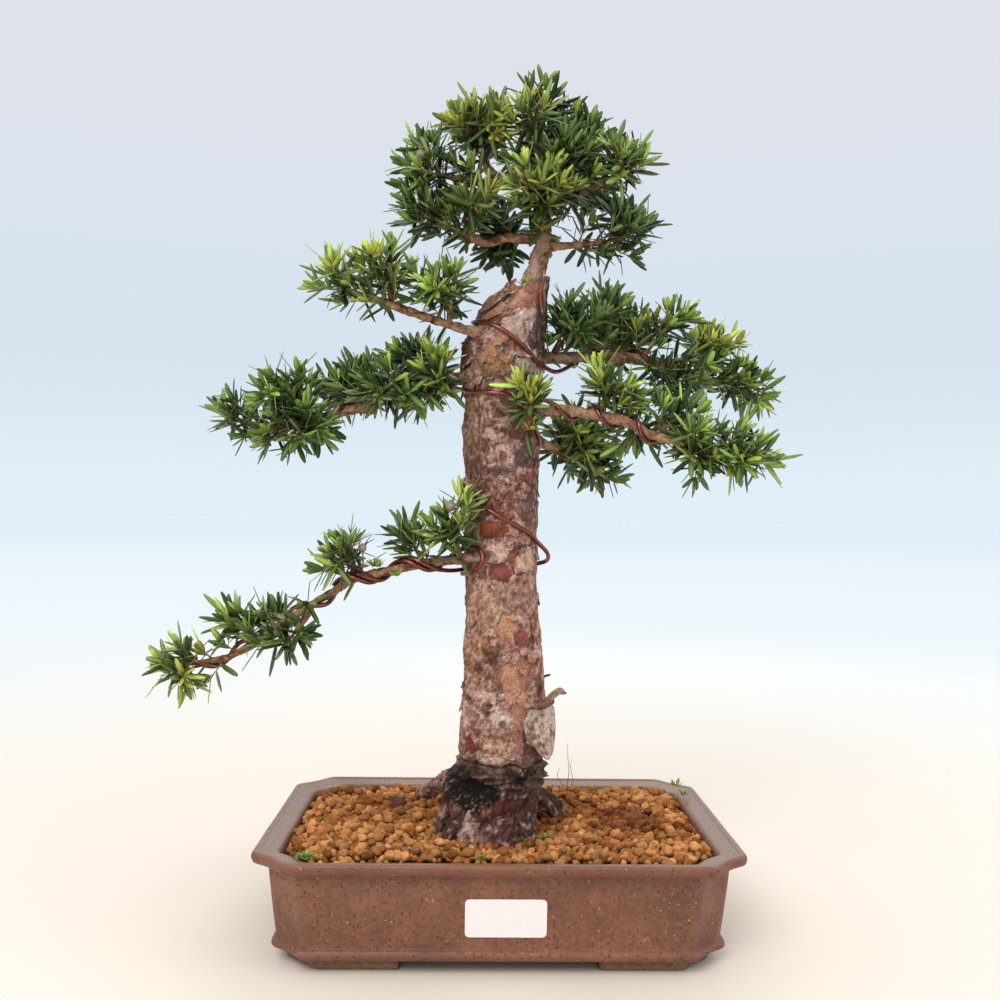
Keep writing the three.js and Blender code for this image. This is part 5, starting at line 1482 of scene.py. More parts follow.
    def sheet(self, look: SheetLook, place: Callable[[Array, Array], Array],
              outer: Callable[[Array, Array], Array]) -> Skin:
        """A loose sheet of bark with a ragged outline.

        Rings grow from the middle of the inner face to the edge and shrink again on the outer face.

        Args:
            look: its outline, thickness and inner colour.
            place: gives points for u and v from -1 to 1, the sheet's width and height.
            outer: gives the colour of its outer face for u and v.

        Returns:
            A closed skin.
        """
        turn = around(look.columns)
        out = np.linspace(0.05, 1, look.rows)
        grow = np.concatenate([out, out[::-1]])
        face = np.repeat([-0.5, 0.5], look.rows)[:, None, None] * look.thick
        round_it = np.stack([2 * np.cos(turn), 2 * np.sin(turn), 0 * turn + look.seed], -1)
        reach = 1 + look.ragged * (noise(round_it, 1.3, look.seed, 4) - 0.55) * 2.6
        square = np.maximum(np.abs(np.cos(turn)), np.abs(np.sin(turn))) ** look.corner
        u = grow[:, None] * (np.cos(turn) / square * reach)[None]
        v = grow[:, None] * (np.sin(turn) / square * reach)[None]
        step = 0.02
        across = place(u + step, v) - place(u - step, v)
        upward = place(u, v + step) - place(u, v - step)
        rings = place(u, v) + unit(np.cross(across, upward)) * face
        rings = rings + 0.5 * (noise(rings, 2.5, 160 + look.seed, 3) - 0.5)[..., None]
        grain = smooth(noise(rings, 2.2, 170 + look.seed, 4), 0.3, 0.68)[..., None]
        shown = (face > 0).astype(float)
        colours = outer(u, v) * shown + paint(look.inner) * (0.5 + 0.7 * grain) * (1 - shown)
        rim = (grow > 0.9)[:, None] * shown[..., 0]
        return closed_run(rings, with_fourth(toward(colours, self.sheet_rim, look.pale_rim * rim)))

    def on_trunk(self, angle: float, z: float, half_angle: float, half_z: float, lift: float,
                 look: SheetLook) -> Skin:
        """A flake that lies on the trunk, painted like the bark there, its lower edge standing off.

        Args:
            angle: where its middle is, in degrees.
            z: the height of its middle.
            half_angle: half its width, in degrees.
            half_z: half its height.
            lift: how far its lower edge stands off.
            look: its outline, thickness and inner colour.

        Returns:
            A closed skin.
        """
        def place(u: Array, v: Array) -> Array:
            """Follows the trunk, standing off more the lower it is and at the corners."""
            off = 0.3 + lift * smooth(-v, -0.4, 1.15) ** 1.5 + 0.25 * np.sin(3 * u + look.seed)
            return self.skeleton.skin(np.radians(angle + u * half_angle), z + v * half_z, off)

        def outer(u: Array, v: Array) -> Array:
            """The trunk's own paint, a little lighter."""
            paint_here = self.bark.at(np.radians(angle + u * half_angle), z + v * half_z)[1][..., :3]
            return np.clip(paint_here * 1.1 + 0.01, 0, 1)

        return self.sheet(look, place, outer)

    def plate(self, u: Array, v: Array) -> Array:
        """The big plate: stands off the trunk, most at its right side, and its edges curl away.

        Args:
            u: places across it, from -1 to 1.
            v: places up it, from -1 to 1.

        Returns:
            The points.
        """
        t = (v + 1) / 2
        s = 0.6 + ((u + 1) / 2 - 0.6) * (0.45 + 0.55 * smooth(t, -0.15, 0.5))
        lift = 1.8 + 5.4 * s ** 1.5 + 2.4 * np.abs(1 - s) ** 3 + 1.8 * (2 * t - 1) ** 2 * s
        height = 120.5 + 37 * t - 3 * s + 9 * (s - 0.4) * t
        return self.skeleton.skin(np.radians(-65 + 56 * s + 7 * (0.5 - t)), height, lift)

    def fold(self, u: Array, v: Array) -> Array:
        """The plate's top edge, folded forwards so that its dark inner face shows.

        Args:
            u: places across it, from -1 to 1.
            v: places up it, from -1 to 1.

        Returns:
            The points.
        """
        s = 0.5 + 0.27 * u
        lift = 4.6 + 5.4 * s ** 1.5 + 2.4 * np.abs(1 - s) ** 3 + 1.3 * (1 - v * v)
        height = 153 + 6 * s + 2.6 * v
        return self.skeleton.skin(np.radians(-68 + 56 * s), height, lift)

    @staticmethod
    def strip(u: Array, v: Array) -> Array:
        """The strip: runs up and out from the plate and curls over at its end.

        Args:
            u: places across it, from -1 to 1.
            v: places up it, from -1 to 1.

        Returns:
            The points.
        """
        t = (v + 1) / 2
        curl = smooth(t, 0.7, 1.05)
        z = 148 + 22 * t - 5 * t * t - 5.5 * curl * curl + 2.2 * (u + 1)
        return np.stack([26 + 10 * t + 8 * t * t, -40 + 2.6 * (u + 1), z], -1)

    @staticmethod
    def curl(u: Array, v: Array) -> Array:
        """The small dark curl above the strip.

        Args:
            u: places across it, from -1 to 1.
            v: places up it, from -1 to 1.

        Returns:
            The points.
        """
        t = (v + 1) / 2
        return np.stack([24 + 8 * t + 2 * t * t, -26 + 3 * (u + 1), 168 + 8 * t - 3 * t * t], -1)

    def flakes(self) -> list[Skin]:
        """The loose plate low on the right, its strip and curl, peeling plates, and small scales.

        Returns:
            One closed skin a piece.
        """
        sheets = [
            (SheetLook(7, "8e6250", 1.0, 0.3, 48, 10, 0.12), self.plate,
             Blotches("d2bbad", "74503c", 2.4, 180, 0.11)),
            (SheetLook(5, "5a3b2c", 0.8, 0.3), self.fold, Blotches("8a6450", "442c21", 3, 186)),
            (SheetLook(2, "9a7c66", 0.8, 0.2), self.strip, Blotches("bba292", "8a6c57", 4, 182)),
            (SheetLook(3, "3a2a20", 0.8, 0.2), self.curl, Blotches("6b5546", "44342a", 4, 184))]
        skins = [self.sheet(*row) for row in sheets]
        skins += [self.on_trunk(*row, SheetLook(10 + k, "7d5340", 0.7, 0.5, 30, 7, 0.3))
                  for k, row in enumerate(PEELING)]
        n = np.arange(self.top_flakes)
        rows = [-165 + 110 * chance(n, 15), 362 + 42 * chance(n, 16), 5 + 8 * chance(n, 17),
                3 + 5 * chance(n, 18), 1.5 + 2.2 * chance(n, 19)]
        skins += [self.on_trunk(*row, SheetLook(200 + k, "8a634b", 0.7, 0.6, 24, 5, 0.2, 0.25))
                  for k, row in enumerate(np.stack(rows, -1).tolist())]
        n = np.arange(self.scale_count)
        rows = [360 * chance(n, 5), 122 + 306 * chance(n, 6), 4 + 7 * chance(n, 10),
                2 + 4.4 * chance(n, 8), 0.5 + 1.5 * chance(n, 9)]
        return skins + [self.on_trunk(*row, SheetLook(40 + k, "6f4a39", 0.6, 0.6, 18, 4, 0.2, 0.08))
                        for k, row in enumerate(np.stack(rows, -1).tolist())]


# Needles

@dataclass
class Shoot:
    """One leafy shoot: a bowed line from start by bend to end."""
    start: Array
    bend: Array
    end: Array
    fresh: float
    seed: int
    radius: float = 1.15
    first: float = 0.1

    def at(self, t: Array) -> tuple[Array, Array]:
        """Points and directions at shares t of the way, on the quadratic curve of the three points.

        Args:
            t: shares of the way, from 0 to 1.

        Returns:
            The points and their directions.
        """
        t = np.atleast_1d(t)[:, None]
        point = (1 - t) ** 2 * self.start + 2 * t * (1 - t) * self.bend + t * t * self.end
        return point, unit((1 - t) * (self.bend - self.start) + t * (self.end - self.bend))

    @property
    def length(self) -> float:
        """Length of the straight line from start to end."""
        return float(np.linalg.norm(self.end - self.start))


def spiral(along: Array, turn: Array, flat: float = 1.0) -> Array:
    """Directions square to a shoot, turned about it.

    Args:
        along: the shoot's directions.
        turn: how far each is turned, in radians.
        flat: how much of the steeper direction is kept.

    Returns:
        One direction a row.
    """
    level = UP if abs(along[0][2]) < 0.85 else np.array([1.0, 0.0, 0.0])
    across = unit(np.cross(along, level))
    return across * np.cos(turn) + np.cross(along, across) * np.sin(turn) * flat


@dataclass
class Foliage:
    """Leafy sprays: shoots with flat pointed needles set round them in a spiral."""
    skeleton: Skeleton
    material: Material
    needle_length: float = 23.5
    needle_width: float = 3.75
    needle_thick: float = 0.66
    needle_step: float = 1.85
    rosette: tuple[float, ...] = (44.0, 34.0, 26.0, 18.0, 8.0)
    lean: float = 74.0
    lean_less: float = 26.0
    lean_spread: float = 18.0
    bow: float = 2.6
    fine_sides: tuple[int, int] = (3, 10)
    fork_place: float = 0.16
    side_place: float = 0.54
    side_length: float = 19.0
    tip_back: float = 4.0
    leafy_end: float = 26.0
    twig_length: float = 13.0
    twig_share: float = 0.36
    twig_rise: float = 1.5
    twig_radii: tuple[float, float] = (1.8, 1.1)
    crown_shade: float = 0.24
    side_gap: float = 4.5
    side_reach: tuple[float, float] = (13.0, 12.0)
    seeds: Array = field(default_factory=lambda: np.zeros((0, 3)))
    seed_room: float = 4.6
    stem_steps: int = 9
    stem_sides: int = 6
    stations: tuple[float, ...] = (0.04, 0.26, 0.72, 0.94)
    widths: tuple[float, ...] = (0.45, 0.98, 0.96, 0.5)
    ridge: float = 0.62
    keel: float = 0.38
    stems: list[Array] = field(default_factory=list)

    def twig(self, plan: SprayPlan) -> tuple[Array, Array, Array | None]:
        """Works out the woody twig under a spray.

        Args:
            plan: the spray.

        Returns:
            Where its shoots begin, their first direction, and the twig's two ends with radii, or None
            if the spray ends its branch and needs no twig.
        """
        total = self.skeleton.length(plan.on)
        if plan.end:
            point, along, _ = self.skeleton.place(plan.on, total)
            return point, along, None
        middle = np.mean(plan.tips, axis=0)
        steps = np.arange(0, int(total) + 1)
        away = np.linalg.norm(self.skeleton.place(plan.on, steps)[0] - middle, axis=1)
        nearest = float(steps[np.argmin(away)])
        root = np.clip(nearest - 0.45 * away.min(), 0.16 * total, total - 6) + plan.shift
        point, _, radius = self.skeleton.place(plan.on, root)
        reach = float(np.linalg.norm(middle - point))
        end = point + (middle - point) * min(self.twig_share, self.twig_length / reach)
        end[2] += self.twig_rise
        ends = np.array([[*point, min(self.twig_radii[0], float(radius))], [*end, self.twig_radii[1]]])
        return end, unit(end - point), ends

    def shoots(self, plan: SprayPlan, index: int, start: Array, out: Array, foot: Array) -> list[Shoot]:
        """The shoots of one spray: one to each tip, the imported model's side shoot, and finer ones.

        Args:
            plan: the spray.
            index: its number, which chooses its chances.
            start: where its shoots begin.
            out: their first direction.
            foot: where the leafy stretch below them begins.

        Returns:
            The shoots, the one to the first tip first.
        """
        made: list[Shoot] = []
        for k, tip in enumerate(np.array(plan.tips, float)):
            origin, heading = start, out
            if k > 0:
                point, along = made[0].at(np.array([self.fork_place]))
                origin, heading = point[0], along[0]
            tip = tip - unit(tip - origin) * self.tip_back
            bend = origin + heading * 0.5 * np.linalg.norm(tip - origin)
            made.append(Shoot(origin, bend, tip, plan.fresh, index * 10 + k))
        main = list(made)
        if len(main) == 1:
            made.append(self._model_side(main[0], plan, index))
        for number, shoot in enumerate(main):
            made += self._fine_sides(shoot, plan, index * 10 + number)
        below = Shoot(foot, (foot + start) / 2, start, plan.fresh * 0.5, index * 10 + 7)
        return made + self._fine_sides(below, plan, index * 10 + 7)[:5 if plan.end else 3]

    def _model_side(self, shoot: Shoot, plan: SprayPlan, index: int) -> Shoot:
        """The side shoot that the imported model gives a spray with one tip.

        Args:
            shoot: the shoot that carries it.
            plan: the spray.
            index: the spray's number.

        Returns:
            The side shoot.
        """
        (point,), (along,) = shoot.at(np.array([self.side_place]))
        out = shoot.at(np.array([0.0]))[1][0]
        seed = index * 10
        level = np.array([np.cos(seed), np.sin(seed), 0]) if abs(out[2]) > 0.85 else UP
        side = unit(np.cross(out, level))
        across = unit(side - along * (side @ along))
        sign = 1 if index % 2 == 0 else -1
        turn = -sign * np.radians(50 * (chance(index, 9) - 0.3))
        sideways = sign * (across * np.cos(turn) + np.cross(along, across) * np.sin(turn))
        heading = unit(along * 0.72 + sideways * 0.7)
        end = point + heading * self.side_length * (0.8 + 0.35 * chance(index * 7, 1))
        return Shoot(point, (point + end) / 2, end, plan.fresh, seed + 5, 0.9)

    def _fine_sides(self, shoot: Shoot, plan: SprayPlan, seed: int) -> list[Shoot]:
        """Short side shoots that turn by the golden angle as they climb the shoot.

        Args:
            shoot: the shoot that carries them.
            plan: the spray.
            seed: chooses their chances.

        Returns:
            The side shoots.
        """
        count = int(np.clip(plan.full * shoot.length / self.side_gap, *self.fine_sides))
        k = np.arange(count)
        places = np.linspace(0.02, 0.9, count)[:, None]
        points, along = shoot.at(places[:, 0])
        out = spiral(along, (k * GOLDEN_ANGLE + seed)[:, None], 0.85)
        heading = unit(along * 0.4 + out + UP * 0.12)
        reach = self.side_reach[0] + self.side_reach[1] * chance(seed * 3 + k, 21)[:, None]
        reach = (1.0 - 0.55 * places) * reach * plan.full
        ends = points + unit(heading + along * 0.35 + UP * 0.15) * reach
        bends = points + heading * reach * 0.5
        fresh = plan.fresh * (0.5 + 0.8 * chance(seed, k))
        return [Shoot(p, m, e, float(f), seed * 7 + n, 0.75, 0.12)
                for n, (p, m, e, f) in enumerate(zip(points, bends, ends, fresh))]

    def needles(self, shoot: Shoot) -> Skin:
        """The needles of one shoot.

        A needle is a thin blade: its width follows the listed shares, its middle line bends as the
        square of the way along it, its upper face has a ridge and its lower face a keel. Needles that
        would stand in front of a seed are left out.

        Args:
            shoot: the shoot that carries them.

        Returns:
            All its needles as one skin, painted with freshness, no stem, chance and place.
        """
        ring = len(self.rosette)
        count = ring + max(5, int(round(shoot.length * (1 - shoot.first) / self.needle_step)))
        place = np.concatenate([np.linspace(shoot.first, 0.98, count - ring), np.ones(ring)])
        k = np.arange(count)
        point, along = shoot.at(place)
        luck = [chance(k, shoot.seed + n) for n in range(14)]
        turn = k * GOLDEN_ANGLE + shoot.seed * 1.7 + 0.5 * (luck[0] - 0.5)
        out = spiral(along, turn[:, None])
        near_tip = smooth(place, 0.4, 1.0)
        stray = self.lean_spread * (chance(k + 7, shoot.seed) - 0.5)
        lean = np.radians(self.lean - self.lean_less * near_tip + stray)
        lean[-ring:] = np.radians(self.rosette)
        heading = along * np.cos(lean)[:, None] + out * np.sin(lean)[:, None]
        heading = unit(heading + UP * (0.08 + 0.1 * luck[3])[:, None])
        length = self.needle_length * (0.74 + 0.3 * luck[1]) * (0.84 + 0.16 * (shoot.radius > 0.8))
        length[-ring:] *= np.linspace(0.85, 0.5, ring)
        outward = unit(point * (1, 1, 0) - (0, -20, 0))
        stray = np.stack([luck[n] - 0.5 for n in (11, 12, 13)], -1)
        facing = along * 0.4 + UP * 0.5 + outward * 0.4 + stray * 0.9
        normal = unit(facing - heading * np.sum(facing * heading, -1, keepdims=True))
        s = np.array(self.stations)[None, :, None]
        bow = (self.bow * (luck[4] - 0.62))[:, None, None]
        foot = point + out * shoot.radius * 0.5
        line = foot[:, None] + heading[:, None] * length[:, None, None] * s + normal[:, None] * bow * s * s
        shares = np.array(self.widths)[None, :, None]
        half = (self.needle_width * (0.82 + 0.3 * luck[2]) / 2)[:, None, None] * shares
        edge = np.cross(heading, normal)[:, None] * half
        up = normal[:, None] * (self.needle_thick * np.minimum(1, shares + 0.2))
        rings = np.stack([line + edge, line + up * self.ridge, line - edge, line - up * self.keel], 2)
        tip = foot + heading * length[:, None] + normal * bow[:, 0]
        new = shoot.fresh * (0.28 + 0.6 * near_tip) + 0.34 * (luck[5] - 0.3)
        new[-ring:] += 0.18 + 0.25 * shoot.fresh
        new = np.clip(new, 0, 1.1)
        gap = rings[:, :, 0, None] - self.seeds
        before_seed = (np.hypot(gap[..., 0], gap[..., 2]) < self.seed_room) & (gap[..., 1] < 2)
        shown = ~before_seed.any((1, 2))
        rings, point, tip, new, chances = rings[shown], point[shown], tip[shown], new[shown], luck[6][shown]
        fresh = new[:, None, None] * (1.12 - 0.24 * s)
        colours = painted_on(rings.shape[:3], fresh, 0, chances[:, None, None], s)
        return swept(rings, point, tip, colours, colours[:, [0, -1], 0])

    def stem(self, shoot: Shoot) -> Skin:
        """The shoot's own slim stem, brown at its foot and green at its end.

        Args:
            shoot: the shoot.

        Returns:
            A closed skin.
        """
        t = np.linspace(0, 1, self.stem_steps)
        point, _ = shoot.at(t)
        radii = shoot.radius * (1 - 0.5 * t) * (0.9 + 0.2 * chance(np.arange(self.stem_steps), shoot.seed))
        rings = tube_rings(point, radii, self.stem_sides)
        brown = (1 - smooth(t, 0.25, 0.9))[:, None]
        return closed_run(rings, painted_on(rings.shape[:2], 0.3 + 0.5 * shoot.fresh, brown, 0.5, 0))

    def shaded(self, skin: Skin) -> Skin:
        """Paints shade on a spray: darker inside and underneath, lighter on top, and darker in the crown.

        The third painted value, a needle's painted shade, is lowered near the middle, below it and high in
        the tree, and raised at the top.

        Args:
            skin: the spray's skin, which is changed.

        Returns:
            The same skin.
        """
        middle = skin.points.mean(0)
        away = np.linalg.norm(skin.points - middle, axis=1)
        outside = smooth(away / np.percentile(away, 90), 0.2, 0.85)
        height = (skin.points[:, 2] - middle[2]) / np.ptp(skin.points[:, 2])
        skin.colours[:, 2] = (0.4 + 0.6 * skin.colours[:, 2]) * (0.5 + 0.5 * outside) * (0.92 + 0.5 * height)
        # painted shade: the crown's needles are darkened
        skin.colours[:, 2] *= 1 - self.crown_shade * smooth(middle[2], 430, 500)
        return skin

    def build(self) -> list[Array]:
        """Makes one piece for each spray.

        Returns:
            The twigs that carry the sprays, for the wood.
        """
        twigs = []
        for index, (name, plan) in enumerate(SPRAYS.items()):
            start, out, ends = self.twig(plan)
            if ends is not None:
                twigs.append(ends)
            skins = []
            tail = self.skeleton.length(plan.on) - self.leafy_end
            foot = self.skeleton.place(plan.on, tail)[0] if ends is None else ends[0, :3]
            for shoot in self.shoots(plan, index, start, out, foot):
                skins += [self.needles(shoot), self.stem(shoot)]
                self.stems.append(shoot.at(np.linspace(0, 1, 12))[0])
            make_piece(f"needles_{name}", self.shaded(Skin.joined(skins)), self.material,
                       [f"spray_{name}"])
        return twigs


@dataclass
class Seeds:
    """Hard round seeds and fat buds that sit on the shoots."""
    material: Material
    radius: float = 3.6
    nodes: tuple[str, ...] = ("seed_crown", "seed_top", "seed_left_low")
    smaller: tuple[tuple[float, float, float], ...] = ((-93.0, -44.0, 260.5), (30.8, -27.0, 559.5))
    stalk_length: float = 4.6
    stalk_radius: float = 0.7
    slim: float = 0.92

    def centres(self) -> Array:
        """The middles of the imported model's seeds, then of the smaller ones.

        Returns:
            One place a row.
        """
        boxes = [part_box(node) for node in self.nodes]
        packed = [(np.array([*(low + high)]) / 2 - pot_middle()) / METRES for low, high in boxes]
        return np.array([*packed, *self.smaller])

    def build(self, stems: Array) -> None:
        """Makes the seeds: egg shapes with a small point and fine ridges, each on a short stalk.

        Args:
            stems: points on the shoots' stems, one a row; a stalk starts at the nearest.
        """
        v, u = grid(np.linspace(0.05, np.pi - 0.05, 22), 28)
        skins = []
        for k, centre in enumerate(self.centres()):
            gaps = np.linalg.norm(stems - centre, axis=1)
            foot = stems[np.argmin(gaps)]
            if k >= len(self.nodes):
                centre = foot + (centre - foot) * min(1, self.stalk_length / gaps.min())
            middle = (foot + centre) / 2 + UP * 0.15 * gaps.min()
            line = spline(np.array([foot, middle, centre]), 4)
            stalk = tube_rings(line, np.full(len(line), self.stalk_radius), 6)
            skins.append(closed_run(stalk, painted_on(stalk.shape[:2], 0.5, 0.5, 0.5, 0.5)))
            size = self.radius * (1.0 if k < len(self.nodes) else 0.8)
            ridge = 1 + 0.025 * np.sin(7 * u) * np.sin(v)
            point = 1 + 0.16 * bell(v, np.pi, 0.3)
            ball = [ridge * np.sin(v) * np.cos(u) * self.slim, ridge * np.sin(v) * np.sin(u) * self.slim,
                    -np.cos(v) * point]
            rings = np.stack(ball, -1) * size + centre
            skins.append(closed_run(rings, painted_on(v.shape, smooth(v, 2.2, 3.0), 0, 0, 0)))
        make_piece("seeds", Skin.joined(skins), self.material, self.nodes)


# Wires

@dataclass
class Wires:
    """Four training wires, wound round branches and laid over the trunk."""
    skeleton: Skeleton
    material: Material
    radius: float = 1.5
    off_bark: float = 2.3
    off_branch: float = 2.05
    sides: int = 12
    steps_a_turn: int = 22

    def coil(self, name: str, first: float, last: float, degrees: float, turns: float) -> Array:
        """A helix round a branch.

        Args:
            name: the branch.
            first: where it begins, as a distance along the branch.
            last: where it ends.
            degrees: its first turn: 0 is on top of the branch, 90 beside it.
            turns: how often it goes round, below zero for the other hand.

        Returns:
            The wire's middle line.
        """
        t = np.linspace(0, 1, int(np.ceil(abs(turns) * self.steps_a_turn)) + 1)
        point, along, radius = self.skeleton.place(name, first + (last - first) * t)
        along = unit(softened(along, 4))
        top = unit(UP - along * along[:, 2:3])
        side = np.cross(along, top)
        turn = np.radians(degrees + 360 * turns * t)[:, None]
        away = (radius + self.off_branch)[:, None]
        return point + (top * np.cos(turn) + side * np.sin(turn)) * away

    def over_trunk(self, *stations: tuple[float, float]) -> Array:
        """A stretch on the trunk through pairs of an angle in degrees and a height."""
        path = evenly(np.array(stations, float), 9.0)
        return self.skeleton.skin(np.radians(path[:, 0]), path[:, 1], self.off_bark)

    def routes(self) -> dict[str, list[Array]]:
        """The stretches of each wire's middle line, by the name of its node.

        Returns:
            For each wire its stretches, in order.
        """
        def knots(*places: tuple[float, float, float]) -> Array:
            """Free points between the bark and a branch."""
            return np.array(places, float)

        trunk, coil = self.over_trunk, self.coil
        return {
            "wire_right_upper": [
                trunk((-160, 423), (-146, 420.5), (-125, 415), (-97, 405), (-70, 396), (-40, 385)),
                knots((31, -30, 380), (38, -20, 381)), coil("right_upper", 38, 150, 150, 3.6)],
            "wire_left_mid_to_right_mid": [
                coil("left_mid", 28, 170, 150, -4.4)[::-1], knots((-36, -32, 367)),
                trunk((-160, 366), (-135, 364), (-109, 362.5), (-80, 361), (-58, 358)),
                knots((23, -46, 359)), coil("right_mid", 30, 126, 60, 3.4)],
            "wire_trunk_to_left_low": [
                trunk((-38, 341), (-20, 334), (90, 318), (180, 303), (208, 295), (238, 287), (278, 277),
                      (330, 264)), knots((31, -22, 256), (31, -10, 250)),
                trunk((40, 247), (100, 244), (160, 244), (184, 244)), knots((-35, -28, 243.5)),
                coil("left_low", 52, 236, 190, 4.6)],
            "wire_left_low_second": [
                knots((-27, -31, 241.5), (-21, -43, 243), (-15, -49, 248), (-13.5, -48.5, 254),
                      (-17, -44, 260), (-25, -37, 259)), coil("left_low", 40, 122, 32, 2.05)]}

    def build(self) -> None:
        """Makes one round piece for each wire, with bare cut ends."""
        for name, stretches in self.routes().items():
            path = softened(evenly(spline(np.concatenate(stretches), 4), 1.0), 3)
            rings = tube_rings(path, np.full(len(path), self.radius), self.sides)
            cut_end = np.isin(np.arange(len(path)), (0, len(path) - 1))[:, None]
            skin = closed_run(rings, painted_on(rings.shape[:2], cut_end, 0, 0, 0))
            make_piece(f"{name}_round", skin, self.material, [name])


# Pot

@dataclass
class Pot:
    """A low rectangular pot with cut corners, a wide lip, a base band and four L-shaped feet."""
    material: Material
    height: float = 71.0
    half_x: float = 155.0
    half_y: float = 108.0
    cut: float = 23.5
    sag: float = 2.2
    lip_thick: float = 7.6
    overhang: float = 9.0
    rim_width: float = 15.0
    taper: float = 5.2
    foot_height: float = 8.2
    floor: float = 16.2
    columns: int = 300
    cut_steps: int = 13
    side_steps: int = 34
    drain_x: float = 68.0
    drain_radius: float = 10.0
    foot_inset: float = 6.5
    foot_wide: float = 14.0
    foot_reach: tuple[float, float] = (72.0, 46.0)
    wobble: float = 0.18

    def outline(self, half_x: float, half_y: float, cut: float) -> Array:
        """The outline at one height.

        Args:
            half_x: half its width.
            half_y: half its depth.
            cut: how much each cut takes off a side.

        Returns:
            Points x and y, counter-clockwise: straight sides and corner cuts that bow inwards, with
            each point averaged with its neighbours so that the corners are round.
        """
        corners = []
        for sx, sy in ((1, -1), (1, 1), (-1, 1), (-1, -1)):
            on_long = np.array([sx * (half_x - cut), sy * half_y])
            on_short = np.array([sx * half_x, sy * (half_y - cut)])
            ends = (on_long, on_short) if sx * sy < 0 else (on_short, on_long)
            corners.append((*ends, -np.array([sx, sy]) / np.sqrt(2)))
        t = np.linspace(0, 1, self.cut_steps)[:, None]
        steps = np.linspace(0, 1, self.side_steps)[1:-1, None]
        stretches = []
        for (first, second, inward), (ahead, _, _) in zip(corners, corners[1:] + corners[:1]):
            stretches.append(first + (second - first) * t + inward * self.sag * 4 * t * (1 - t))
            stretches.append(second + (ahead - second) * steps)
        path = np.concatenate(stretches)
        ring = np.concatenate([path, path[:1]])
        step = np.linalg.norm(np.diff(ring, axis=0), axis=1).sum() / self.columns
        return rounded(evenly(ring, step)[:self.columns])

    def profile(self) -> Array:
        """The wall's section, from under the floor up the outside, over the lip and down inside.

        Returns:
            Rows of the inset from the lip's outside, what the corner cut loses, the height, and the
            painted masks of the rim's painted sheen, the foot and the rust.
        """
        wall, top, under = self.overhang, self.height, self.height - self.lip_thick
        low, inner = wall + self.taper, self.rim_width + 1.5
        runs = (
            # the floor's underside and the band at the foot of the wall
            (low, self.foot_height, (
                (60, 3, 0, 0, 0.4, 0), (12, 3, 0, 0, 0.4, 0), (1.5, 3, 0, 0, 0.3, 0.3),
                (-0.8, 2.8, 0.4, 0, 0, 0.5), (-1.9, 2.6, 1.3, 0, 0, 0.7), (-2.5, 2.5, 2.6, 0, 0, 0.5),
                (-2.6, 2.5, 3.8, 0, 0, 0.4), (-2.2, 2.5, 5.2, 0, 0, 0.3), (-1.2, 2.6, 6.3, 0, 0, 0.1),
                (-0.3, 2.9, 7, 0, 0, 0), (0, 3, 8, 0, 0, 0))),
            # the wall and the hollow under the lip
            (wall, 0, ((self.taper * 0.75, 2.9, 27.5, 0, 0, 0), (self.taper * 0.5, 2.8, 39, 0, 0, 0),
                       (self.taper * 0.25, 2.6, 51, 0, 0, 0))),
            (wall, under, ((0.3, 2.5, -2, 0, 0, 0), (-0.6, 2.2, -0.9, 0, 0, 0), (-3, 1.6, -0.3, 0, 0, 0))),
            # the lip
            (0, under, ((3.4, 1, 0, 0, 0, 0.3), (1.4, 0.5, 0.8, 0, 0, 0.6), (0.5, 0.2, 2.2, 0, 0, 0.8))),
            (0, top, ((0, 0, -4, 0, 0, 0.8), (0, 0, -2.4, 0, 0, 0.8), (0.5, 0.2, -1.1, 0.2, 0, 0.8),
                      (1.5, 0.5, -0.25, 0.5, 0, 0.5), (2.8, 0.9, 0, 0.8, 0, 0.1), (4, 1.3, -0.4, 1, 0, 0),
                      (5, 1.6, -1.1, 1, 0, 0), (8, 2.6, -1.8, 1, 0, 0))),
            (self.rim_width, top, ((-2.5, 3.6, -2.5, 1, 0, 0), (-0.8, 4, -3.1, 0.9, 0, 0.2),
                                   (0.3, 4.4, -4, 0.5, 0, 0.4))),
            # the inside
            (inner, top, ((0, 5, -6, 0.1, 0, 0.2), (1, 5.2, -12, 0, 0, 0))),
            (inner + self.taper, self.floor, ((0, 6, 2, 0, 0, 0), (2, 6, 0, 0, 0, 0), (45, 6, 0, 0, 0, 0))))
        return np.concatenate([np.array(rows) + (inset, 0, z, 0, 0, 0) for inset, z, rows in runs])

    def build(self) -> None:
        """Makes the pot with its feet and drills its two drain holes."""
        rings, colours = [], []
        for inset, less, z, rim, foot, rust in spline(self.profile(), 3):
            flat = self.outline(self.half_x - inset, self.half_y - inset, max(self.cut - less, 4.0))
            z = np.full(len(flat), z)
            wobble = self.wobble * (noise(np.column_stack([flat, z]), 30, 200, 2) - 0.5)
            rings.append(np.column_stack([flat * (1 + wobble[:, None] * 0.02), z]))
            colours.append(painted_on(z.shape, *np.clip([rim, foot, rust, 0], 0, 1)))
        shell = closed_run(np.array(rings), np.array(colours))
        feet = [self._foot(sx, sy) for sx in (-1, 1) for sy in (-1, 1)]
        piece = make_piece("pot_shell", Skin.joined([shell, *feet]), self.material, ["pot"])
        self._drill(piece)

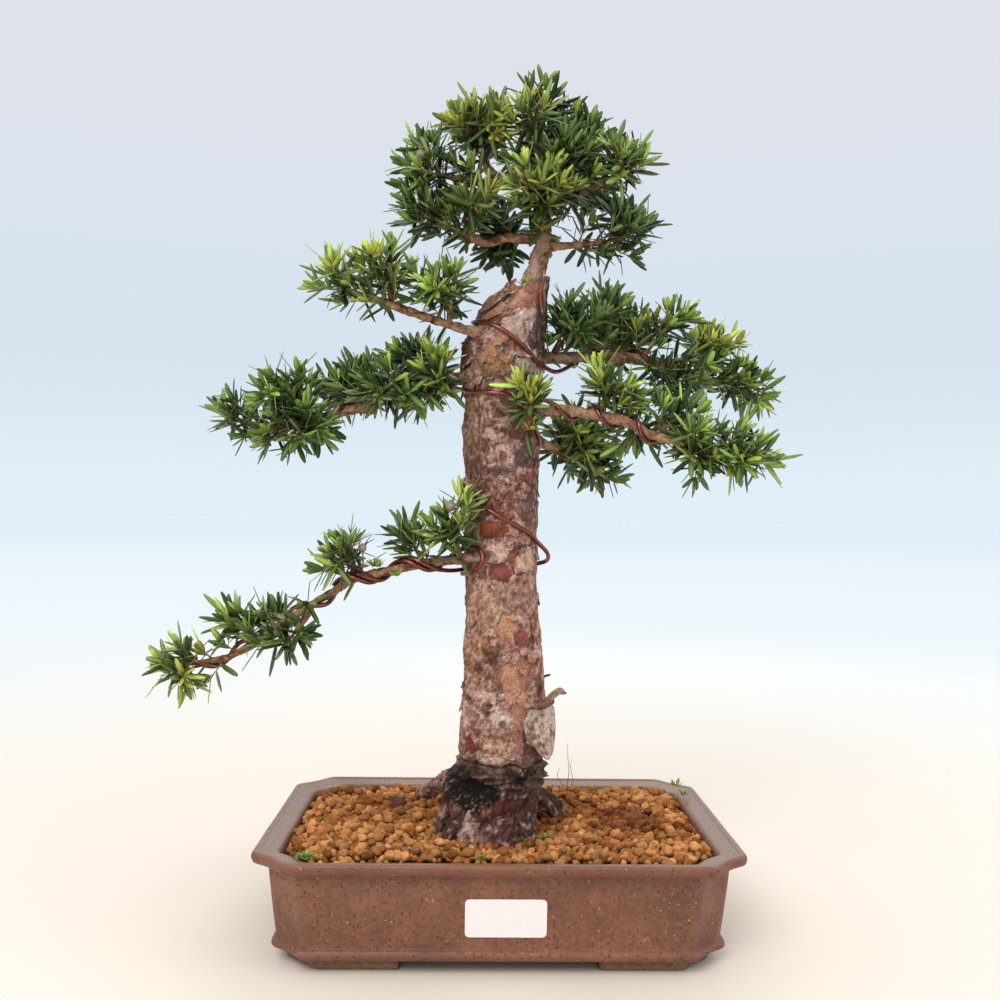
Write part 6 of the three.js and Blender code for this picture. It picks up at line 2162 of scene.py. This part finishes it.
    def _foot(self, sx: int, sy: int) -> Skin:
        """One L-shaped foot: its rounded outline at several heights, drawn in at the ground.

        Args:
            sx: its side of the pot, -1 or 1 along x.
            sy: the same along y.

        Returns:
            A closed skin.
        """
        x, y = (half - self.overhang - self.taper - self.foot_inset for half in (self.half_x, self.half_y))
        wide, cut = self.foot_wide, self.cut - 4
        along_x, along_y = self.foot_reach
        corners = np.array([(x - along_x, y), (x - along_x, y - wide), (x - wide * 1.6, y - wide),
                            (x - wide, y - wide * 1.6), (x - wide, y - along_y), (x, y - along_y),
                            (x, y - cut), (x - cut, y)]) * (sx, sy)
        if sx * sy < 0:
            corners = corners[::-1]
        path = rounded(evenly(np.concatenate([corners, corners[:1]]), 2.5)[:-1])
        levels = ((0, 0.988), (0.4, 0.994), (1.4, 1), (4, 1), (self.foot_height + 0.8, 1))
        rings = np.array([np.column_stack([path * draw, np.full(len(path), z)]) for z, draw in levels])
        caps = self._caps(path, (len(rings) - 1) * len(path))
        colours = painted_on((len(rings) * len(path),), 0, 1, 0, 0)
        return Skin(rings.reshape(-1, 3), ring_quads(*rings.shape[:2]), caps, colours)

    @staticmethod
    def _caps(path: Array, last_ring: int) -> Array:
        """Triangles that close the bottom and the top of a foot, whose outline is not convex.

        Args:
            path: the outline.
            last_ring: the number of the top ring's first point.

        Returns:
            The triangles.
        """
        cut = np.array(tessellate_polygon([[Vector((*p, 0.0)) for p in path]]))
        p, q, r = (path[cut[:, k]] for k in range(3))
        turns = np.cross(q - p, r - p) > 0
        cut[~turns] = cut[~turns][:, ::-1]
        return np.concatenate([cut[:, ::-1], cut + last_ring])

    def _drill(self, piece: bpy.types.Object) -> None:
        """Cuts the drain holes with two upright rods and keeps the result as the mesh.

        Args:
            piece: the pot.
        """
        z, turn = grid(np.array([-5.0, 40.0]), 48)
        for x in (-self.drain_x, self.drain_x):
            rings = np.stack([x + self.drain_radius * np.cos(turn), self.drain_radius * np.sin(turn), z], -1)
            cutter = placed("rod", mesh_of("rod", closed_run(rings, painted_on(z.shape, 0, 0, 0, 0))))
            modifier = piece.modifiers.new("drain", "BOOLEAN")
            modifier.operation, modifier.object, modifier.solver = "DIFFERENCE", cutter, "EXACT"
            bpy.context.view_layer.update()
            graph = bpy.context.evaluated_depsgraph_get()
            drilled = bpy.data.meshes.new_from_object(piece.evaluated_get(graph))
            piece.modifiers.clear()
            piece.data = drilled
            bpy.data.objects.remove(cutter)


# Soil

@dataclass
class Soil:
    """Packed baked clay: a rough bed and a layer of single granules on it."""
    material: Material
    half_x: float = 137.6
    half_y: float = 90.6
    cut: float = 18.5
    low: float = 17.0
    level: float = 66.2
    mound: float = 2.6
    spacing: float = 5.05
    sides: int = 8
    bed_shadow: float = 0.8
    smallest: float = 1.9
    larger: float = 1.9
    second_layer: float = 0.15

    def top(self, x: Array, y: Array) -> Array:
        """Height of the soil: level, with a low mound round the trunk."""
        return self.level + self.mound * np.exp(-((x / 100) ** 2) - ((y + 20) / 70) ** 2)

    def inside(self, x: Array, y: Array, margin: float) -> Array:
        """Whether places are inside the pot's opening, its cut corners included.

        Args:
            x: places along the pot.
            y: places across it.
            margin: how far inside they have to be.

        Returns:
            True or false for each place.
        """
        half_x, half_y = self.half_x - margin, self.half_y - margin
        slant = np.abs(x) + np.abs(y) < half_x + half_y - self.cut
        return (np.abs(x) < half_x) & (np.abs(y) < half_y) & slant

    def moisture(self, x: Array, y: Array) -> Array:
        """Moist clay, from 0 to 1: a ring round the trunk and patches right, back and left, all ragged.

        Args:
            x: places along the pot.
            y: places across it.

        Returns:
            One value a place.
        """
        ragged = noise(np.stack([x, y, 0 * x], -1), 16, 210, 3) - 0.5
        right = np.hypot((x - 94) / 38, y / 40) + 0.9 * ragged
        round_trunk = np.hypot(x + 3, y + 22) / 46 + 0.8 * ragged
        back = np.hypot((x - 52) / 34, (y - 30) / 26) + 0.9 * ragged
        left = np.hypot((x + 62) / 40, (y - 12) / 34) + 1.1 * ragged
        return np.maximum.reduce([1 - smooth(right, 0.6, 1.15), 0.9 * (1 - smooth(round_trunk, 0.75, 1.1)),
                                  0.8 * (1 - smooth(back, 0.6, 1.1)), 0.45 * (1 - smooth(left, 0.6, 1.1))])

    def build(self) -> None:
        """Makes the bed and the granules."""
        make_piece("soil_bed", self.bed(), self.material, ["soil"])
        make_piece("soil_granules", self.granules(), self.material)

    def bed(self) -> Skin:
        """The bed: rings that grow from the middle to the pot's wall, then go down to the floor.

        Returns:
            A closed skin.
        """
        turn = around(240)
        ray = np.stack([np.cos(turn), np.sin(turn)], -1)
        ray = ray / np.abs(ray).max(1, keepdims=True)
        edge = ray * (self.half_x, self.half_y)
        edge = edge * np.minimum(1, (self.half_x + self.half_y - self.cut) / np.abs(edge).sum(1))[:, None]
        share = np.concatenate([[0.97, 0.99, 0.995], np.linspace(0.99, 0.02, 50)])
        flat = edge[None] * share[:, None, None]
        z = self.top(flat[..., 0], flat[..., 1]) - 3.4
        places = np.concatenate([flat, z[..., None]], -1)
        z = z + 2.6 * (noise(places, 4.5, 220, 3) - 0.5)
        z[0], z[1], z[2] = self.low, self.low + 0.4, self.level - 6
        tone = smooth(noise(places, 5, 221, 3), 0.3, 0.7) * 0.35
        moist = self.moisture(flat[..., 0], flat[..., 1])
        colours = painted_on(z.shape, tone, moist, 0, self.bed_shadow)
        return closed_run(np.concatenate([flat, z[..., None]], -1), colours)

    def granules(self) -> Skin:
        """Lumpy grains on a jittered triangular lattice, with a sparse second layer on top.

        Each grain is a ball stretched along three chosen axes and dented by noise.

        Returns:
            All the grains as one skin.
        """
        row = self.spacing * np.sqrt(3) / 2
        j, i = np.meshgrid(np.arange(-28, 29), np.arange(-36, 37), indexing="ij")
        keys = (i * 7 + 300, j * 13 + 500)
        x = (i + (j % 2) / 2 + 0.42 * (chance(*keys) - 0.5)) * self.spacing
        y = (j * self.spacing * 0.866 + 0.42 * (chance(keys[1], keys[0]) - 0.5) * row)
        x, y = x.ravel(), y.ravel()
        number = np.arange(len(x))
        radius = self.smallest + self.larger * chance(number, 31) ** 1.6
        z = self.top(x, y) - 0.9 + 1.7 * (chance(number, 32) - 0.35)
        upper = chance(number, 33) < self.second_layer
        x2, y2 = x[upper] + 2.2, y[upper] + 1.4
        x, y = np.concatenate([x, x2]), np.concatenate([y, y2])
        z = np.concatenate([z, self.top(x2, y2) + 2.4])
        radius = np.concatenate([radius, 2.6 + 1.3 * chance(number[upper], 34)])
        trunk_x, trunk_y, trunk_r = (np.interp(70, TRUNK[:, 0], TRUNK[:, k]) for k in (1, 2, 3))
        keep = self.inside(x, y, radius + 0.2) & (np.hypot(x - trunk_x, y - trunk_y) > trunk_r - 1)
        x, y, z, radius = x[keep], y[keep], z[keep], radius[keep]
        return self._grains(np.stack([x, y, z], -1), radius, self.moisture(x, y))

    def _grains(self, centres: Array, radius: Array, moist: Array) -> Skin:
        """The grains' meshes.

        Args:
            centres: their middles, shape (grains, 3).
            radius: their radii.
            moist: how moist each is.

        Returns:
            One skin, painted with tone, moisture, chance and a painted shade on its lower half.
        """
        k = np.arange(len(centres))
        v, u = grid(np.linspace(0, np.pi, 6)[1:-1], self.sides)
        ball = np.stack([np.sin(v) * np.cos(u), np.sin(v) * np.sin(u), -np.cos(v)], -1)
        stretch = 0.8 + 0.45 * np.stack([chance(k, 41), chance(k, 42), 0.7 * chance(k, 43)], -1)
        local = ball[None] * (radius[:, None] * stretch)[:, None, None]
        spin, tilt = 2 * np.pi * chance(k, 44), 0.9 * (chance(k, 45) - 0.5)
        c, s, ct, st = np.cos(spin), np.sin(spin), np.cos(tilt), np.sin(tilt)
        turn = np.stack([np.stack([c, -s * ct, s * st], -1), np.stack([s, c * ct, -c * st], -1),
                         np.stack([0 * c, st, ct], -1)], 1)
        rings = np.einsum("nij,nrcj->nrci", turn, local)
        apart = 40.0 * k[:, None, None, None] * (0.31, 0.57, 0.77)
        dents = 1 + 1.1 * (noise(rings + apart, 2.1, 230, 2) - 0.5)
        rings = rings * dents[..., None] + centres[:, None, None]
        poles = turn[..., 2] * (radius * stretch[:, 2])[:, None] * 0.96
        tone, moist = smooth(chance(k, 46), 0.05, 0.6), moist * (0.55 + 0.45 * chance(k, 47))
        shade = with_fourth(np.stack([tone, moist, chance(k, 48)], -1))
        colours = np.tile(shade[:, None, None], (1, *ball.shape[:2], 1))
        # painted shade on the lower half of each granule
        colours[..., 3] = 0.95 * smooth(-(rings[..., 2] - centres[:, None, None, 2]), -0.5, 1.7)
        ends = np.tile(shade[:, None], (1, 2, 1))
        return swept(rings, centres - poles, centres + poles, colours, ends)


# Tufts: middle x, y and z, reach, number of leaves, freshness, length of a leaf
TUFTS = [
    (-120.4, -86.5, 68, 5, 60, 0.6, 2.6), (15.7, -54, 69, 5, 44, 0.1, 3.6),
    (31, -50, 69, 3.5, 24, 0.0, 3.6), (-12, -88, 68.5, 3, 18, 0.4, 2.6),
    (-108, -62, 68, 2.5, 12, 0.3, 2.4), (14.5, -32, 437, 3.2, 22, 1.0, 5.0),
    (33, -18, 470, 2.6, 12, 0.8, 5.5), (-71, -42, 240, 2.2, 12, 0.6, 4.5),
    (-84, -43, 246, 2.4, 14, 0.5, 5.5), (138, 64.9, 76, 2.2, 7, 0.6, 5.0), (143, 58, 71, 2.4, 8, 0.8, 4.0)]

# Stalks: two green ones that carry tufts, then three dry ones, each from its foot to its top
STALKS = np.array([((137, 65, 66), (139, 64.8, 76)), ((141, 60, 66), (143, 58, 71)),
                   ((55, 86, 66), (58, 86, 104)), ((59, 85, 66), (60.5, 85, 92)),
                   ((52, 86, 66), (49, 84, 84))])


@dataclass
class GroundPlants:
    """Moss, small weeds, buds on bare wood, dry grass and a chip of bark on the soil."""
    leaf: Material
    bark: Material
    chip_place: tuple[float, float, float] = (-74.3, 31.5, 70.5)
    chip_reach: tuple[float, float] = (7.5, 4.5)
    chip_half: float = 0.6

    def build(self) -> None:
        """Makes the green bits as one piece and the chip as another."""
        skins = [self.tuft(*row, seed=k) for k, row in enumerate(TUFTS)]
        for k, (low, high) in enumerate(STALKS):
            path = low + (high - low) * np.linspace(0, 1, 9)[:, None]
            path[:, 0] += 1.5 * np.sin(np.linspace(0, 3 + k, 9))
            green = k < 2
            rings = tube_rings(path, np.linspace(0.5 if green else 0.32, 0.15, 9), 5)
            shade = (0.75, 0.0, 0.6, 0.0) if green else (0.9, 0.75, 0.7, 0.0)
            skins.append(closed_run(rings, painted_on(rings.shape[:2], *shade)))
        make_piece("moss_and_weeds", Skin.joined(skins), self.leaf)
        make_piece("bark_chip", self.chip(), self.bark)

    @staticmethod
    def tuft(x: float, y: float, z: float, reach: float, count: int, fresh: float, size: float,
             seed: int) -> Skin:
        """A cushion of small pointed leaves that lean outwards from its middle.

        Args:
            x: the middle's place along the pot.
            y: the middle's place across the pot.
            z: its height.
            reach: the cushion's radius.
            count: how many leaves it has.
            fresh: how yellow-green they are.
            size: how long they are.
            seed: chooses its chances.

        Returns:
            All the leaves as one skin.
        """
        k = np.arange(count)
        turn, away = k * GOLDEN_ANGLE, np.sqrt((k + 0.5) / count)
        out = np.stack([np.cos(turn), np.sin(turn), 0 * turn], -1)
        mound = UP * (1 - away[:, None] ** 2) * reach * 0.35
        root = np.array([x, y, z]) + out * (away * reach)[:, None] + mound
        heading = unit(out * (0.25 + 0.9 * away)[:, None] + UP + 0.5 * (chance(k, seed)[:, None] - 0.5))
        side = unit(np.cross(heading, out))
        normal = np.cross(side, heading)
        length = size * (0.7 + 0.6 * chance(k, seed + 50))
        s = np.array([0.0, 0.45, 0.8])[None, :, None]
        half = (0.26 * length)[:, None, None] * np.array([0.35, 1.0, 0.6])[None, :, None]
        line = root[:, None] + heading[:, None] * length[:, None, None] * s
        edge, rib = side[:, None] * half, normal[:, None] * 0.3
        rings = np.stack([line + edge, line + rib, line - edge, line - rib], 2)
        green = (fresh * (0.6 + 0.5 * chance(k, seed + 60)))[:, None, None]
        colours = painted_on(rings.shape[:3], green, 0, chance(k, seed + 70)[:, None, None], 0)
        ends = np.stack([colours[:, 0, 0], colours[:, -1, 0]], 1)
        return swept(rings, root, root + heading * length[:, None], colours, ends)

    def chip(self) -> Skin:
        """A thin chip of bark, curved as the square of the way across, that leans on the granules.

        Returns:
            A closed skin.
        """
        turn = around(26)
        grow = np.concatenate([np.linspace(0.05, 1, 5), np.linspace(1, 0.05, 5)])[:, None]
        face = np.repeat([-self.chip_half, self.chip_half], 5)[:, None]
        ragged = 1 + 0.5 * (chance(np.arange(26), 3) - 0.5)
        wide, deep = self.chip_reach
        u, v = grow * np.cos(turn) * ragged * wide, grow * np.sin(turn) * ragged * deep
        x, y, z = self.chip_place
        rings = np.stack([x + u, y + v * 0.75, z + v * 0.8 + 0.03 * u * u + face], -1)
        colours = paint("5f3d2b") * (0.6 + 0.8 * noise(rings, 3, 240, 3))[..., None]
        return closed_run(rings, with_fourth(colours))


# Stage

@dataclass
class Stage:
    """Pale floor, soft light and the photograph's camera."""
    camera_place: tuple[float, float, float] = (-18.8, -741.2, 280.0)
    yaw: float = 1.346
    pitch: float = 0.941
    roll: float = 0.77
    lens: float = 37.858
    floor_half: float = 60.0
    floor_drop: float = 0.0002
    cream: Colour = (0.79, 0.71, 0.61)
    white: Colour = (0.79, 0.82, 0.81)
    bright: Colour = (0.85, 0.92, 0.95)
    haze: Colour = (0.755, 0.87, 0.94)
    sky_low: Colour = (0.67, 0.77, 0.87)
    sky_middle: Colour = (0.74, 0.76, 0.83)
    sky_top: Colour = (1.15, 1.13, 1.12)
    aim: tuple[float, float, float] = (0.0, 0.0, 0.25)
    lamps: tuple = (("key", (-0.5, -1.2, 1.2), 12.5, 0.8), ("right", (1.3, -0.5, 1.0), 3.5, 0.9),
                    ("back", (0.3, 1.2, 1.3), 4.0, 1.2))

    def camera(self) -> None:
        """Makes the camera: turned by yaw, tilted by pitch, then rolled about its own view."""
        yaw, pitch, roll = np.radians([self.yaw, self.pitch, self.roll])
        right = np.array([np.cos(yaw), -np.sin(yaw), 0])
        level = np.array([np.sin(yaw), np.cos(yaw), 0])
        ahead = level * np.cos(pitch) + UP * np.sin(pitch)
        up = -level * np.sin(pitch) + UP * np.cos(pitch)
        axes = np.stack([right * np.cos(roll) + up * np.sin(roll), up * np.cos(roll) - right * np.sin(roll),
                         -ahead], 1)
        data = bpy.data.cameras.new("camera")
        data.lens, data.sensor_width, data.clip_start = self.lens, 36.0, 0.01
        camera = placed("camera", data)
        place = Matrix.Translation(Vector(np.array(self.camera_place) * METRES + pot_middle()))
        camera.matrix_world = place @ Matrix(axes.tolist()).to_4x4()
        bpy.context.scene.camera = camera

    def floor(self) -> None:
        """Makes a wide matt floor just under the feet, cream near the pot and pale blue far off."""
        mesh = bpy.data.meshes.new("floor")
        corners = np.array([(-1, -1, 0), (1, -1, 0), (1, 1, 0), (-1, 1, 0)]) * self.floor_half
        mesh.from_pydata(corners - UP * self.floor_drop, [], [(0, 1, 2, 3)])
        material = bpy.data.materials.new("pale floor")
        material.use_nodes = True
        nodes = Nodes(material.node_tree)
        away = nodes.add("VectorMath", {0: nodes.add("TexCoord").outputs["Object"]}, operation="LENGTH")
        away = away.outputs["Value"]
        colour = nodes.mix(nodes.ramp(away, 0.0, 1.5), self.cream, self.white)
        colour = nodes.mix(nodes.ramp(away, 1.0, 2.8), colour, self.bright)
        colour = nodes.mix(nodes.ramp(away, 3.0, 16.0), colour, self.haze)
        shader = nodes.tree.nodes["Principled BSDF"].inputs
        for key, value in (("Base Color", colour), ("Roughness", 0.9), ("Specular IOR Level", 0.0)):
            nodes.put(value, shader[key])
        mesh.materials.append(material)
        placed("floor", mesh)

    def light(self) -> None:
        """Makes the pale sky, bright overhead, and three large soft lamps."""
        bpy.context.scene.view_settings.view_transform = "Standard"
        world = bpy.data.worlds.new("studio")
        world.use_nodes = True
        nodes = Nodes(world.node_tree)
        place = nodes.add("TexCoord").outputs["Generated"]
        height = nodes.add("SeparateXYZ", {"Vector": place}).outputs["Z"]
        colour = nodes.mix(nodes.ramp(height, 0.0, 0.16), self.haze, self.sky_low)
        colour = nodes.mix(nodes.ramp(height, 0.12, 0.4), colour, self.sky_middle)
        colour = nodes.mix(nodes.ramp(height, 0.5, 0.75), colour, self.sky_top)
        background = nodes.tree.nodes["Background"].inputs
        nodes.put(colour, background["Color"])
        nodes.put(1.0, background["Strength"])
        bpy.context.scene.world = world
        for name, place, power, size in self.lamps:
            data = bpy.data.lights.new(name, "AREA")
            data.energy, data.size = power, size
            lamp = placed(name, data)
            lamp.location = place
            lamp.rotation_mode = "QUATERNION"
            lamp.rotation_quaternion = (Vector(self.aim) - Vector(place)).to_track_quat("-Z", "Y")

    def build(self) -> None:
        """Makes the camera, the floor and the light."""
        self.camera()
        self.floor()
        self.light()


def dress_kept(effects: Effects) -> None:
    """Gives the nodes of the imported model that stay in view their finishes.

    Args:
        effects: the shared node groups.
    """
    paper = Coated(effects, "blank paper label", 0.42, colour=tint("efeae6"),
                   second=tint("e3dcd6"), spread=0.02, speck_share=0.05, grain_depth=0.00002)
    plastic = Coated(effects, "black mesh", 0.6, colour=tint("242424"), second=tint("3a3a3a"),
                     spread=0.15)
    for node, finish in (("blank_label", paper), ("drain_screen_1", plastic), ("drain_screen_2", plastic)):
        data = bpy.data.objects[node].data
        data.materials.clear()
        data.materials.append(finish.material())


def main() -> None:
    """Builds the stage and every part of the bonsai in order."""
    logging.basicConfig(level=logging.INFO, format="%(message)s")
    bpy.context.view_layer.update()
    effects = Effects()
    Stage().build()
    skeleton = Skeleton()
    bark = Bark(effects).material()
    leaf = Leaf(effects).material()
    Pot(Stoneware(effects).material()).build()
    Soil(Clay(effects).material()).build()
    seed_coat = Coated(effects, "seed coat", 0.5, colour=tint("8d7f6c"), second=tint("5c4b3c"),
                       mottle_scale=400.0, spread=0.25, speck_share=0.3)
    seeds = Seeds(seed_coat.material())
    foliage = Foliage(skeleton, leaf, seeds=seeds.centres())
    twigs = foliage.build()
    seeds.build(np.concatenate(foliage.stems))
    Wood(skeleton, bark).build(twigs)
    Wires(skeleton, Wire(effects).material()).build()
    GroundPlants(leaf, bark).build()
    dress_kept(effects)
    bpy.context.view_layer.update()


if __name__ == "__main__":
    main()
